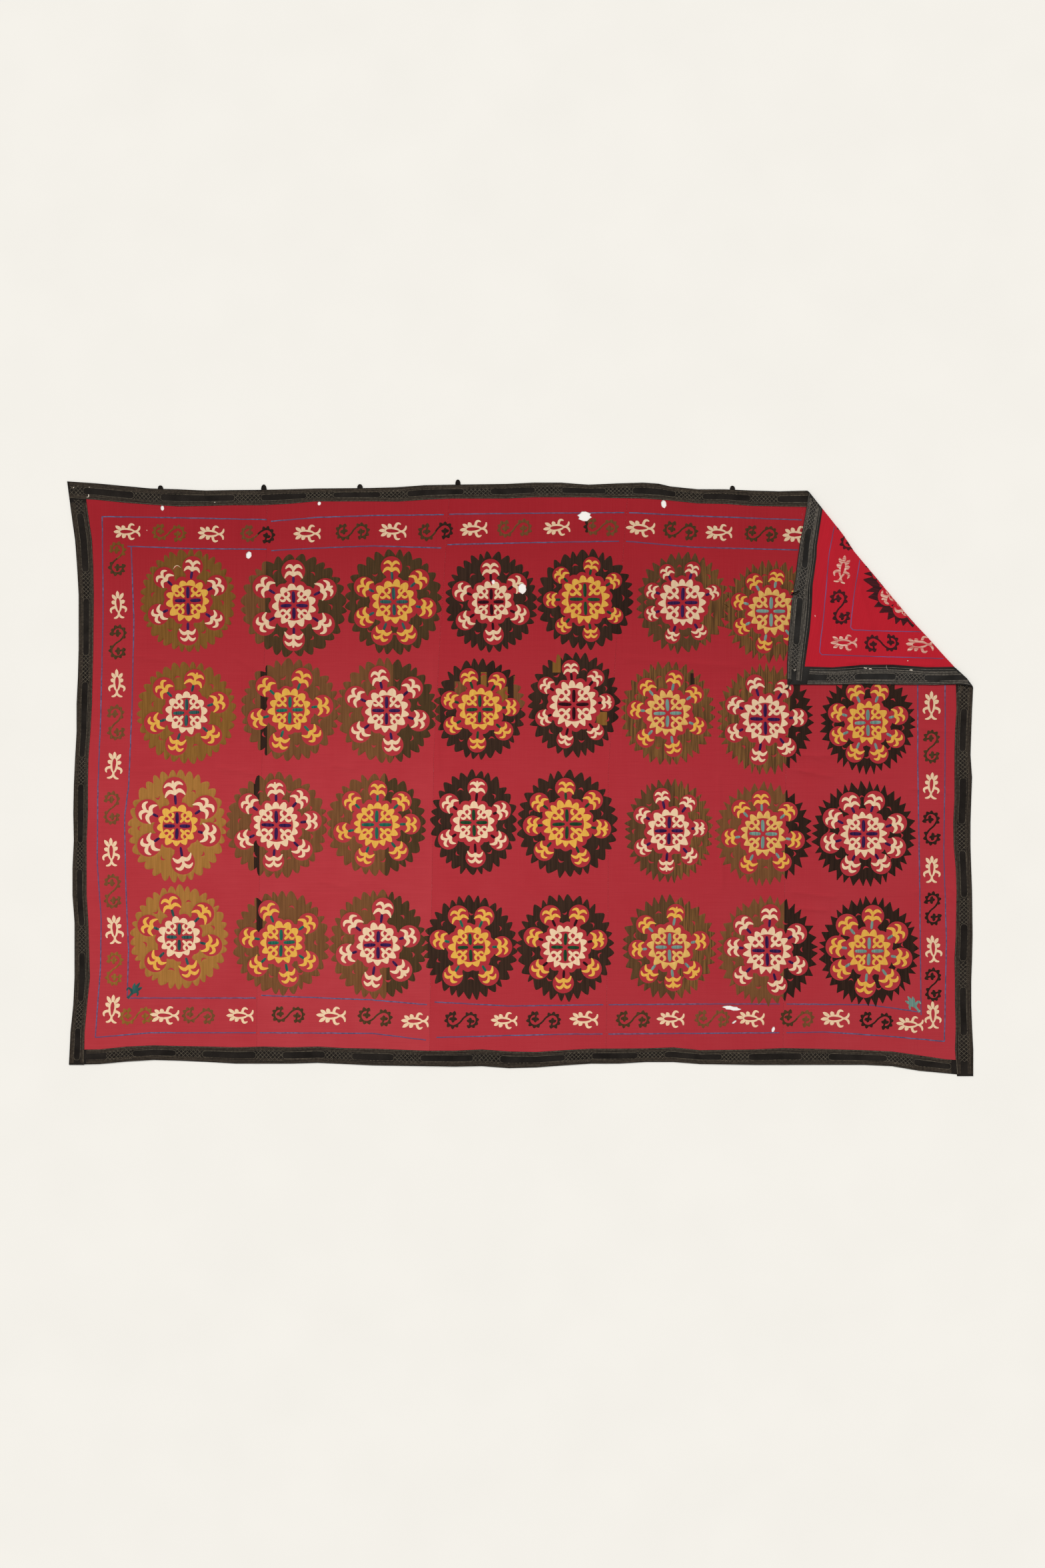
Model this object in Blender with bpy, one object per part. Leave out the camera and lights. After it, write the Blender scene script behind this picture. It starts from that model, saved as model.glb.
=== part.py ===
"""Suzani: a large embroidered cotton hanging, lying face up with its top right corner folded over.

Five loom widths of red cotton are sewn side by side. A black stitched band frames them, and five small
loops stand on its top edge. X runs along the long side, Y towards the edge with the loops, Z is up.
Every piece is first drawn on the flat cloth, as if unfolded, and then laid down by one function.
"""

import math
from bisect import bisect_right
from collections import namedtuple

import bmesh
import bpy
from mathutils import Vector

# Sizes in millimetres
PANEL_THICK = 1.2
BAND_THICK = 2.0
SEAM_GAP = 0.4  # between neighbouring pieces
LOOP_THICK = 2.0
LOOP_POINTS = 9

# The folded corner: the crease runs from the top edge to the right edge
FOLD_START = Vector((1124.5, 1117.3))
FOLD_END = Vector((1766.7, 347.7))
FOLD_RADIUS = 5.0  # of the cloth's underside round the fold
FOLD_STEPS = 8  # flat facets round the half turn
FLAP_REST = 4.0  # height of the upturned underside once the corner lies flat
FLAP_SETTLES = 70.0  # distance from the fold over which it comes down
SETTLE_STEPS = 5

MM = 0.001
HALF_GAP = SEAM_GAP / 2
COLLECTION = "suzani"

# How far the crease bows out from the straight line between its ends
Bow = namedtuple("Bow", "along out")
FOLD_BOW = [
    Bow(0, 0), Bow(215, -5), Bow(290, -14), Bow(640, -14.5),
    Bow(725, -9), Bow(830, -5.5), Bow(890, -2), Bow(955, 7), Bow(1002, 4),
]

# The outer and inner edge of the band, side by side, on the unfolded cloth
Edge = namedtuple("Edge", "along outer inner")
TOP = [
    Edge(-1767, 1156, 1091), Edge(-1652, 1148, 1084), Edge(-1546, 1138, 1073),
    Edge(-1439, 1128, 1065), Edge(-1332, 1125, 1058), Edge(-1226, 1120, 1060),
    Edge(-1119, 1122, 1063), Edge(-1013, 1123, 1063), Edge(-906, 1125, 1068),
    Edge(-800, 1128, 1078), Edge(-586, 1130, 1078), Edge(-480, 1133, 1077),
    Edge(-373, 1141, 1084), Edge(-266, 1143, 1089), Edge(-53, 1146, 1089),
    Edge(53, 1151, 1094), Edge(160, 1151, 1094), Edge(266, 1143, 1094),
    Edge(373, 1148, 1091), Edge(480, 1151, 1089), Edge(540, 1147, 1085),
    Edge(586, 1136, 1081), Edge(693, 1125, 1070), Edge(800, 1125, 1068),
    Edge(906, 1120, 1060), Edge(1013, 1117, 1058), Edge(1119, 1120, 1056),
    Edge(1216, 1115, 1051), Edge(1327, 1114, 1045), Edge(1424, 1108, 1028),
    Edge(1537, 1091, 1011), Edge(1638, 1082, 1001), Edge(1783, 1065, 995),
    Edge(1863, 1049, 989),
]
BOTTOM = [
    Edge(-1760, -1119, -1060), Edge(-1642, -1116, -1059), Edge(-1535, -1106, -1048),
    Edge(-1429, -1100, -1043), Edge(-1322, -1103, -1046), Edge(-1216, -1108, -1048),
    Edge(-1109, -1114, -1051), Edge(-1002, -1114, -1048), Edge(-896, -1114, -1051),
    Edge(-789, -1111, -1048), Edge(-682, -1116, -1054), Edge(-576, -1121, -1056),
    Edge(-363, -1124, -1064), Edge(-256, -1126, -1064), Edge(-150, -1124, -1059),
    Edge(-43, -1132, -1067), Edge(64, -1129, -1069), Edge(170, -1121, -1062),
    Edge(277, -1114, -1056), Edge(384, -1114, -1056), Edge(490, -1108, -1055),
    Edge(597, -1108, -1051), Edge(703, -1116, -1062), Edge(916, -1119, -1059),
    Edge(1023, -1119, -1054), Edge(1130, -1119, -1056), Edge(1343, -1119, -1062),
    Edge(1450, -1124, -1067), Edge(1556, -1142, -1082), Edge(1663, -1152, -1098),
    Edge(1767, -1163, -1104),
]
LEFT = [
    Edge(-1119, -1760, -1701), Edge(-991, -1754, -1699), Edge(-885, -1743, -1689),
    Edge(-778, -1738, -1678), Edge(-565, -1738, -1684), Edge(-458, -1746, -1691),
    Edge(-352, -1746, -1691), Edge(-245, -1741, -1691), Edge(-138, -1743, -1686),
    Edge(-32, -1741, -1686), Edge(75, -1736, -1684), Edge(181, -1730, -1676),
    Edge(288, -1730, -1670), Edge(394, -1725, -1668), Edge(501, -1722, -1665),
    Edge(714, -1722, -1663), Edge(821, -1728, -1665), Edge(928, -1736, -1670),
    Edge(1034, -1751, -1686), Edge(1156, -1767, -1702),
]
RIGHT = [
    Edge(-1163, 1767, 1704), Edge(-1059, 1767, 1696), Edge(-970, 1762, 1699),
    Edge(-882, 1759, 1696), Edge(-794, 1759, 1696), Edge(-705, 1762, 1694),
    Edge(-617, 1764, 1699), Edge(-440, 1762, 1702), Edge(-352, 1759, 1699),
    Edge(-263, 1756, 1691), Edge(-175, 1756, 1689), Edge(-86, 1759, 1694),
    Edge(2, 1762, 1694), Edge(90, 1756, 1694), Edge(179, 1759, 1696),
    Edge(267, 1762, 1702), Edge(340, 1766, 1700), Edge(437, 1777, 1698),
    Edge(540, 1786, 1713), Edge(665, 1803, 1722), Edge(780, 1819, 1737),
    Edge(889, 1835, 1766), Edge(988, 1853, 1781), Edge(1049, 1863, 1790),
]

# The seams between the panels, from the bottom up
Seam = namedtuple("Seam", "up across")
SEAMS = [
    [Seam(-1200, -1029), Seam(-866, -1026), Seam(1200, -984)],
    [Seam(-1200, -357), Seam(-594, -347), Seam(98, -337), Seam(576, -311), Seam(1200, -269)],
    [Seam(-1200, 332), Seam(-594, 342), Seam(20, 344), Seam(498, 373), Seam(1200, 427)],
    [Seam(-1200, 1024), Seam(20, 1036), Seam(1200, 1111)],
]

# The top band butts against the side band here, at the corner of the flap
BUTT_OUTER = Vector((1804, 1061))
BUTT_INNER = Vector((1783, 995))

# Loops on the top edge
Loop = namedtuple("Loop", "across wide high")
LOOPS = [
    Loop(-1403, 20, 13), Loop(-1000, 21, 20), Loop(-625, 21, 15), Loop(-243, 20, 19.4), Loop(828, 20, 15),
]

# Worn holes in the panels: an ellipse of this width and height, turned, its rim ragged
Hole = namedtuple("Hole", "panel across up wide high turn ragged")
HOLES = [
    Hole(1, -1396, 1052, 14, 20, 0, 0.10),
    Hole(1, -1059, 869, 21, 31, -20, 0.15),
    Hole(2, -784, 1070, 13, 16, 0, 0.10),
    Hole(3, -105, 764, 13, 18, 10, 0.10),
    Hole(3, 8, 738, 34, 38, 15, 0.18),
    Hole(3, 251, 1020, 58, 34, 8, 0.30),
    Hole(4, 560, 1068, 21, 31, 0, 0.15),
    Hole(4, 825, -898, 65, 18, -6, 0.30),
    Hole(4, 835, -952, 20, 9, 35, 0.20),
    Hole(4, 987, -981, 12, 23, -12, 0.15),
]
HOLE_POINTS = 14

# Colours as red, green, blue, then roughness
Finish = namedtuple("Finish", "name colour roughness")
RED_COTTON = Finish("red_cotton", (0.36, 0.025, 0.04), 0.9)
BLACK_BAND = Finish("black_band", (0.014, 0.012, 0.010), 0.95)
LOOP_TAPE = Finish("loop_tape", (0.018, 0.016, 0.014), 0.9)


def clear_scene():
    for obj in list(bpy.data.objects):
        bpy.data.objects.remove(obj)


def new_collection(name):
    made = bpy.data.collections.new(name)
    bpy.context.scene.collection.children.link(made)
    return made


def material(finish):
    """One Principled material for each finish."""
    made = bpy.data.materials.get(finish.name) or bpy.data.materials.new(finish.name)
    made.use_nodes = True
    shader = made.node_tree.nodes["Principled BSDF"]
    shader.inputs["Base Color"].default_value = (*finish.colour, 1)
    shader.inputs["Roughness"].default_value = finish.roughness
    shader.inputs["Metallic"].default_value = 0
    return made


def read_off(rows, at, column):
    """The value in a column of a table, straight between its rows; the first column is the position."""
    places = [row[0] for row in rows]
    i = min(max(bisect_right(places, at) - 1, 0), len(rows) - 2)
    share = min(max((at - places[i]) / (places[i + 1] - places[i]), 0), 1)
    low = getattr(rows[i], column)
    return low + share * (getattr(rows[i + 1], column) - low)


def smooth(share):
    share = min(max(share, 0), 1)
    return share * share * (3 - 2 * share)


FOLD_LENGTH = (FOLD_END - FOLD_START).length
FOLD_ALONG = (FOLD_END - FOLD_START) / FOLD_LENGTH
FOLD_OUT = Vector((-FOLD_ALONG.y, FOLD_ALONG.x))  # towards the corner
HALF_TURN = math.pi * FOLD_RADIUS


def to_fold(point):
    """A point of the flat cloth as (distance along the crease, distance past it)."""
    from_start = Vector(point) - FOLD_START
    along = from_start.dot(FOLD_ALONG)
    return along, from_start.dot(FOLD_OUT) - read_off(FOLD_BOW, along, "out")


def settled(past):
    """The height of the upturned underside at this distance from the fold."""
    top = 2 * FOLD_RADIUS
    return top + (FLAP_REST - top) * smooth(past / FLAP_SETTLES)


def lay(along, past, rise):
    """Where a point of the cloth lies, given its place from the crease and its rise above the underside."""
    turned = past + FOLD_RADIUS
    if turned <= 0:
        across, height = past, rise
    elif turned < HALF_TURN:
        angle = turned / FOLD_RADIUS
        across = (FOLD_RADIUS - rise) * math.sin(angle) - FOLD_RADIUS
        height = FOLD_RADIUS - (FOLD_RADIUS - rise) * math.cos(angle)
    else:
        beyond = turned - HALF_TURN
        across, height = -FOLD_RADIUS - beyond, settled(beyond) - rise
    out = across + read_off(FOLD_BOW, along, "out")
    place = FOLD_START + along * FOLD_ALONG + out * FOLD_OUT
    return Vector((place.x, place.y, height)) * MM


def split(bm, place, direction, beyond):
    """Adds an edge where a plane crosses the faces that lie past the fold's start."""
    faces = [f for f in bm.faces if f.calc_center_median().y > beyond]
    edges = {e for f in faces for e in f.edges}
    verts = {v for f in faces for v in f.verts}
    bmesh.ops.bisect_plane(bm, geom=[*verts, *edges, *faces], plane_co=place, plane_no=direction, dist=1e-4)


def crease_lines(bm):
    """Edges along the fold, for its half turn and its way down, and across it where it bows."""
    everywhere = -1e6
    for step in range(FOLD_STEPS + 1):
        split(bm, (0, HALF_TURN * step / FOLD_STEPS - FOLD_RADIUS, 0), (0, 1, 0), everywhere)
    for step in range(1, SETTLE_STEPS + 1):
        past = HALF_TURN - FOLD_RADIUS + FLAP_SETTLES * step / SETTLE_STEPS
        split(bm, (0, past, 0), (0, 1, 0), everywhere)
    for row in FOLD_BOW[1:-1]:
        split(bm, (row.along, 0, 0), (1, 0, 0), -FOLD_RADIUS)


def slab(bm, outline, thick):
    """A flat piece of even thickness, standing on an outline."""
    base = bm.faces.new([bm.verts.new(place) for place in outline])
    top = bmesh.ops.extrude_face_region(bm, geom=[base])["geom"]
    lifted = [item for item in top if isinstance(item, bmesh.types.BMVert)]
    bmesh.ops.translate(bm, verts=lifted, vec=(0, 0, thick))
    bmesh.ops.recalc_face_normals(bm, faces=bm.faces)


def object_of(name, bm, collection):
    mesh = bpy.data.meshes.new(name)
    bm.to_mesh(mesh)
    bm.free()
    obj = bpy.data.objects.new(name, mesh)
    collection.objects.link(obj)
    return obj


def sheet(name, outline, thick, finish, collection):
    """A piece of cloth cut to an outline on the flat cloth, folded where it crosses the crease."""
    bm = bmesh.new()
    corners = [to_fold(point) for point in outline]
    slab(bm, [(along, past, 0) for along, past in corners], thick)
    if max(past for _, past in corners) > -FOLD_RADIUS:
        crease_lines(bm)
    for vert in bm.verts:
        vert.co = lay(*vert.co)
    obj = object_of(name, bm, collection)
    obj.data.materials.append(material(finish))
    return obj


def between(rows, low, high):
    """The positions of a table's rows that lie inside a range, with the range's ends."""
    return [low, *[row[0] for row in rows if low + 1 < row[0] < high - 1], high]


def across_edge(rows, column, low, high, shift):
    """Points along the top or bottom edge."""
    return [(x, read_off(rows, x, column) + shift) for x in between(rows, low, high)]


def up_edge(rows, column, low, high, shift):
    """Points along the left or right edge, or along a seam."""
    return [(read_off(rows, y, column) + shift, y) for y in between(rows, low, high)]


def meeting(side, side_column, edge, edge_column="inner"):
    """Where an upright edge or seam meets an edge of the band at the top or bottom."""
    x = 0
    for _ in range(8):
        y = read_off(edge, x, edge_column)
        x = read_off(side, y, side_column)
    return x, y


def panel_sides():
    """For each panel, its left and right boundary as (table, column)."""
    lines = [(LEFT, "inner"), *[(seam, "across") for seam in SEAMS], (RIGHT, "inner")]
    return list(zip(lines[:-1], lines[1:]))


def panel_outline(left, right):
    """A panel's outline, anticlockwise from its bottom left corner."""
    bottom_left, bottom_right = meeting(*left, BOTTOM), meeting(*right, BOTTOM)
    top_left, top_right = meeting(*left, TOP), meeting(*right, TOP)
    bottom = across_edge(
        BOTTOM, "inner", bottom_left[0] + HALF_GAP, bottom_right[0] - HALF_GAP, HALF_GAP
    )
    top = across_edge(TOP, "inner", top_left[0] + HALF_GAP, top_right[0] - HALF_GAP, -HALF_GAP)
    left_side = up_edge(*left, bottom_left[1] + HALF_GAP, top_left[1] - HALF_GAP, HALF_GAP)
    right_side = up_edge(*right, bottom_right[1] + HALF_GAP, top_right[1] - HALF_GAP, -HALF_GAP)
    return [*bottom, *right_side[1:-1], *reversed(top), *reversed(left_side[1:-1])]


def top_band_outline():
    """The top band runs out to the left edge and butts against the right band."""
    outer = across_edge(TOP, "outer", TOP[0].along, BUTT_OUTER.x - SEAM_GAP, 0)
    low = meeting(LEFT, "outer", TOP)[0]
    inner = across_edge(TOP, "inner", low, BUTT_INNER.x - SEAM_GAP, HALF_GAP)
    return [*inner, *reversed(outer)]


def right_band_outline():
    """The right band runs the whole height and round the corner of the flap."""
    inner = up_edge(RIGHT, "inner", RIGHT[0].along, BUTT_INNER.y, HALF_GAP)[:-1]
    outer = up_edge(RIGHT, "outer", RIGHT[0].along, RIGHT[-1].along, 0)
    return [*outer, tuple(BUTT_OUTER), tuple(BUTT_INNER), *reversed(inner)]


def left_band_outline():
    """The left band runs down to the bottom edge, from under the top band."""
    inner_top, outer_top = (meeting(LEFT, column, TOP)[1] - HALF_GAP for column in ("inner", "outer"))
    inner = up_edge(LEFT, "inner", LEFT[0].along, inner_top, -HALF_GAP)
    outer = up_edge(LEFT, "outer", LEFT[0].along, outer_top, 0)
    return [*inner, *reversed(outer)]


def bottom_band_outline():
    """The bottom band butts against the left and the right band."""
    rows = {}
    for column, shift in (("outer", 0), ("inner", -HALF_GAP)):
        low = meeting(LEFT, "inner", BOTTOM, column)[0] + HALF_GAP
        high = meeting(RIGHT, "inner", BOTTOM, column)[0] - HALF_GAP
        rows[column] = across_edge(BOTTOM, column, low, high, shift)
    return [*rows["outer"], *reversed(rows["inner"])]


def loop_outline(loop):
    """A small rounded tab standing on the band's outer edge."""
    points = []
    for step in range(LOOP_POINTS):
        angle = math.pi * step / (LOOP_POINTS - 1)
        x = loop.across + loop.wide / 2 * math.cos(angle)
        foot = read_off(TOP, x, "outer") + SEAM_GAP
        points.append((x, foot + loop.high * math.sin(angle) ** 0.8))
    return points


def hole_cutter(index, hole, collection):
    """A ragged prism through a panel."""
    bm = bmesh.new()
    turn = math.radians(hole.turn)
    rim = []
    for step in range(HOLE_POINTS):
        angle = 2 * math.pi * step / HOLE_POINTS
        ragged = 1 + hole.ragged * math.sin(3 * angle + index) * math.cos(5 * angle)
        x = hole.wide / 2 * ragged * math.cos(angle)
        y = hole.high / 2 * ragged * math.sin(angle)
        place = Vector((
            hole.across + x * math.cos(turn) - y * math.sin(turn),
            hole.up + x * math.sin(turn) + y * math.cos(turn),
            -PANEL_THICK,
        ))
        rim.append(place * MM)
    slab(bm, rim, 3 * PANEL_THICK * MM)
    cutter = object_of(f"hole_{index}", bm, collection)
    cutter.hide_render = True
    cutter.display_type = "WIRE"
    return cutter


def cut_holes(panels, cutters):
    for index, hole in enumerate(HOLES):
        cut = panels[hole.panel - 1].modifiers.new(f"hole_{index}", "BOOLEAN")
        cut.operation = "DIFFERENCE"
        cut.solver = "EXACT"
        cut.object = hole_cutter(index, hole, cutters)


def build():
    clear_scene()
    parts, cutters = new_collection(COLLECTION), new_collection("cutters")
    panels = [
        sheet(f"panel_{i + 1}", panel_outline(*sides), PANEL_THICK, RED_COTTON, parts)
        for i, sides in enumerate(panel_sides())
    ]
    cut_holes(panels, cutters)
    sheet("band_top", top_band_outline(), BAND_THICK, BLACK_BAND, parts)
    sheet("band_right", right_band_outline(), BAND_THICK, BLACK_BAND, parts)
    sheet("band_bottom", bottom_band_outline(), BAND_THICK, BLACK_BAND, parts)
    sheet("band_left", left_band_outline(), BAND_THICK, BLACK_BAND, parts)
    for i, loop in enumerate(LOOPS):
        sheet(f"loop_{i + 1}", loop_outline(loop), LOOP_THICK, LOOP_TAPE, parts)


build()
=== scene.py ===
"""Suzani: a large embroidered cotton hanging, lying face up on a pale floor with its corner folded over.

The cloth is drawn flat, as it was cut and sewn, in millimetres: the red cotton of five loom widths, the
silk patches of its rosettes and border, and the black band. Every mesh is filled flat, raised from the
cloth in edit mode and then laid down by one function, which also turns the corner over.
"""

import math
import random
from collections import namedtuple

import bpy
import numpy as np
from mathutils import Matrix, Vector
from mathutils.geometry import delaunay_2d_cdt


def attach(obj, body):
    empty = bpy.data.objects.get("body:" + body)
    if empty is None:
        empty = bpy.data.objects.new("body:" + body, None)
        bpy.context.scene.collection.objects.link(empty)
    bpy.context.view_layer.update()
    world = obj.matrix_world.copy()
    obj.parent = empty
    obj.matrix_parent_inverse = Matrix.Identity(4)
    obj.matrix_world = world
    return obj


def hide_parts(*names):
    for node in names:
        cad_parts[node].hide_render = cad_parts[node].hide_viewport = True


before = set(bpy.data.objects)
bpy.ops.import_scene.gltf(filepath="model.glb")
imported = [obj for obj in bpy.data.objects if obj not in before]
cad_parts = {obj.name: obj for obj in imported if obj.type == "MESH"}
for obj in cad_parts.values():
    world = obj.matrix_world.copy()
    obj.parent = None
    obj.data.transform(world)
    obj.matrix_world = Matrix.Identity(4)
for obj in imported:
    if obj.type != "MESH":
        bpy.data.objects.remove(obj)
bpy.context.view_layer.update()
bpy.ops.object.select_all(action="DESELECT")

MM = 0.001
PIXEL = 2.6  # millimetres of cloth to a pixel of the photograph
ORIGIN_PX = (780.5, 1166.73)  # the pixel over the frame's origin

# ---------------------------------------------------------------- sizes in millimetres
PANEL_THICK = 1.2
BAND_THICK = 2.0
SEAM_GAP = 0.4
HALF_GAP = SEAM_GAP / 2
GRID = 12.0  # spacing of the points inside a flat piece
CLEAR = 3.0  # grid points keep this far from an outline
SUNK = 0.2  # how deep a patch of silk sits in the cloth
SILK_PROUD = 0.55  # how far it stands above the cloth
SILK_EDGE = 0.8  # width of its sloping edge
STITCH_PROUD = 0.35
STITCH_SUNK = 0.1  # how deep a line of stitches or a thread sits in what it lies on

FOLD_START = np.array((1124.5, 1117.3))
FOLD_END = np.array((1766.7, 347.7))
FOLD_RADIUS = 5.0
FOLD_STEPS = 8
FLAP_REST = 4.0
FLAP_SETTLES = 70.0
SETTLE_STEPS = 5

Bow = namedtuple("Bow", "along out")
FOLD_BOW = [
    Bow(0, 0), Bow(215, -5), Bow(290, -14), Bow(640, -14.5),
    Bow(725, -9), Bow(830, -5.5), Bow(890, -2), Bow(955, 7), Bow(1002, 4),
]

# The outer and inner edge of the band, side by side, on the unfolded cloth
Edge = namedtuple("Edge", "along outer inner")
TOP = [
    Edge(-1767, 1156, 1091), Edge(-1652, 1148, 1084), Edge(-1546, 1138, 1073),
    Edge(-1439, 1128, 1065), Edge(-1332, 1125, 1058), Edge(-1226, 1120, 1060),
    Edge(-1119, 1122, 1063), Edge(-1013, 1123, 1063), Edge(-906, 1125, 1068),
    Edge(-800, 1128, 1078), Edge(-586, 1130, 1078), Edge(-480, 1133, 1077),
    Edge(-373, 1141, 1084), Edge(-266, 1143, 1089), Edge(-53, 1146, 1089),
    Edge(53, 1151, 1094), Edge(160, 1151, 1094), Edge(266, 1143, 1094),
    Edge(373, 1148, 1091), Edge(480, 1151, 1089), Edge(540, 1147, 1085),
    Edge(586, 1136, 1081), Edge(693, 1125, 1070), Edge(800, 1125, 1068),
    Edge(906, 1120, 1060), Edge(1013, 1117, 1058), Edge(1119, 1120, 1056),
    Edge(1216, 1115, 1051), Edge(1327, 1114, 1045), Edge(1424, 1108, 1028),
    Edge(1537, 1091, 1011), Edge(1638, 1082, 1001), Edge(1783, 1065, 995),
    Edge(1863, 1049, 989),
]
BOTTOM = [
    Edge(-1760, -1119, -1060), Edge(-1642, -1116, -1059), Edge(-1535, -1106, -1048),
    Edge(-1429, -1100, -1043), Edge(-1322, -1103, -1046), Edge(-1216, -1108, -1048),
    Edge(-1109, -1114, -1051), Edge(-1002, -1114, -1048), Edge(-896, -1114, -1051),
    Edge(-789, -1111, -1048), Edge(-682, -1116, -1054), Edge(-576, -1121, -1056),
    Edge(-363, -1124, -1064), Edge(-256, -1126, -1064), Edge(-150, -1124, -1059),
    Edge(-43, -1132, -1067), Edge(64, -1129, -1069), Edge(170, -1121, -1062),
    Edge(277, -1114, -1056), Edge(384, -1114, -1056), Edge(490, -1108, -1055),
    Edge(597, -1108, -1051), Edge(703, -1116, -1062), Edge(916, -1119, -1059),
    Edge(1023, -1119, -1054), Edge(1130, -1119, -1056), Edge(1343, -1119, -1062),
    Edge(1450, -1124, -1067), Edge(1556, -1142, -1082), Edge(1663, -1152, -1098),
    Edge(1767, -1163, -1104),
]
LEFT = [
    Edge(-1119, -1760, -1701), Edge(-991, -1754, -1699), Edge(-885, -1743, -1689),
    Edge(-778, -1738, -1678), Edge(-565, -1738, -1684), Edge(-458, -1746, -1691),
    Edge(-352, -1746, -1691), Edge(-245, -1741, -1691), Edge(-138, -1743, -1686),
    Edge(-32, -1741, -1686), Edge(75, -1736, -1684), Edge(181, -1730, -1676),
    Edge(288, -1730, -1670), Edge(394, -1725, -1668), Edge(501, -1722, -1665),
    Edge(714, -1722, -1663), Edge(821, -1728, -1665), Edge(928, -1736, -1670),
    Edge(1034, -1751, -1686), Edge(1156, -1767, -1702),
]
RIGHT = [
    Edge(-1163, 1767, 1704), Edge(-1059, 1767, 1696), Edge(-970, 1762, 1699),
    Edge(-882, 1759, 1696), Edge(-794, 1759, 1696), Edge(-705, 1762, 1694),
    Edge(-617, 1764, 1699), Edge(-440, 1762, 1702), Edge(-352, 1759, 1699),
    Edge(-263, 1756, 1691), Edge(-175, 1756, 1689), Edge(-86, 1759, 1694),
    Edge(2, 1762, 1694), Edge(90, 1756, 1694), Edge(179, 1759, 1696),
    Edge(267, 1762, 1702), Edge(340, 1766, 1700), Edge(437, 1777, 1698),
    Edge(540, 1786, 1713), Edge(665, 1803, 1722), Edge(780, 1819, 1737),
    Edge(889, 1835, 1766), Edge(988, 1853, 1781), Edge(1049, 1863, 1790),
]

# The seams between the panels, from the bottom up
Seam = namedtuple("Seam", "up across")
SEAMS = [
    [Seam(-1200, -1029), Seam(-866, -1026), Seam(1200, -984)],
    [Seam(-1200, -357), Seam(-594, -347), Seam(98, -337), Seam(576, -311), Seam(1200, -269)],
    [Seam(-1200, 332), Seam(-594, 342), Seam(20, 344), Seam(498, 373), Seam(1200, 427)],
    [Seam(-1200, 1024), Seam(20, 1036), Seam(1200, 1111)],
]
BUTT_OUTER = (1804, 1061)
BUTT_INNER = (1783, 995)

Loop = namedtuple("Loop", "across wide high")
LOOPS = [
    Loop(-1403, 20, 13), Loop(-1000, 21, 20), Loop(-625, 21, 15), Loop(-243, 20, 19.4), Loop(828, 20, 15),
]

# Worn holes: an ellipse of this width and height, turned, its rim ragged
Hole = namedtuple("Hole", "panel across up wide high turn ragged")
HOLES = [
    Hole(1, -1396, 1052, 14, 20, 0, 0.10),
    Hole(1, -1059, 869, 21, 31, -20, 0.15),
    Hole(2, -784, 1070, 13, 16, 0, 0.10),
    Hole(3, -105, 764, 13, 18, 10, 0.10),
    Hole(3, 8, 738, 34, 38, 15, 0.18),
    Hole(3, 251, 1020, 58, 34, 8, 0.30),
    Hole(4, 560, 1068, 21, 31, 0, 0.15),
    Hole(4, 825, -898, 65, 18, -6, 0.30),
    Hole(4, 835, -952, 20, 9, 35, 0.20),
    Hole(4, 987, -981, 12, 23, -12, 0.15),
]
HOLE_POINTS = 14

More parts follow.
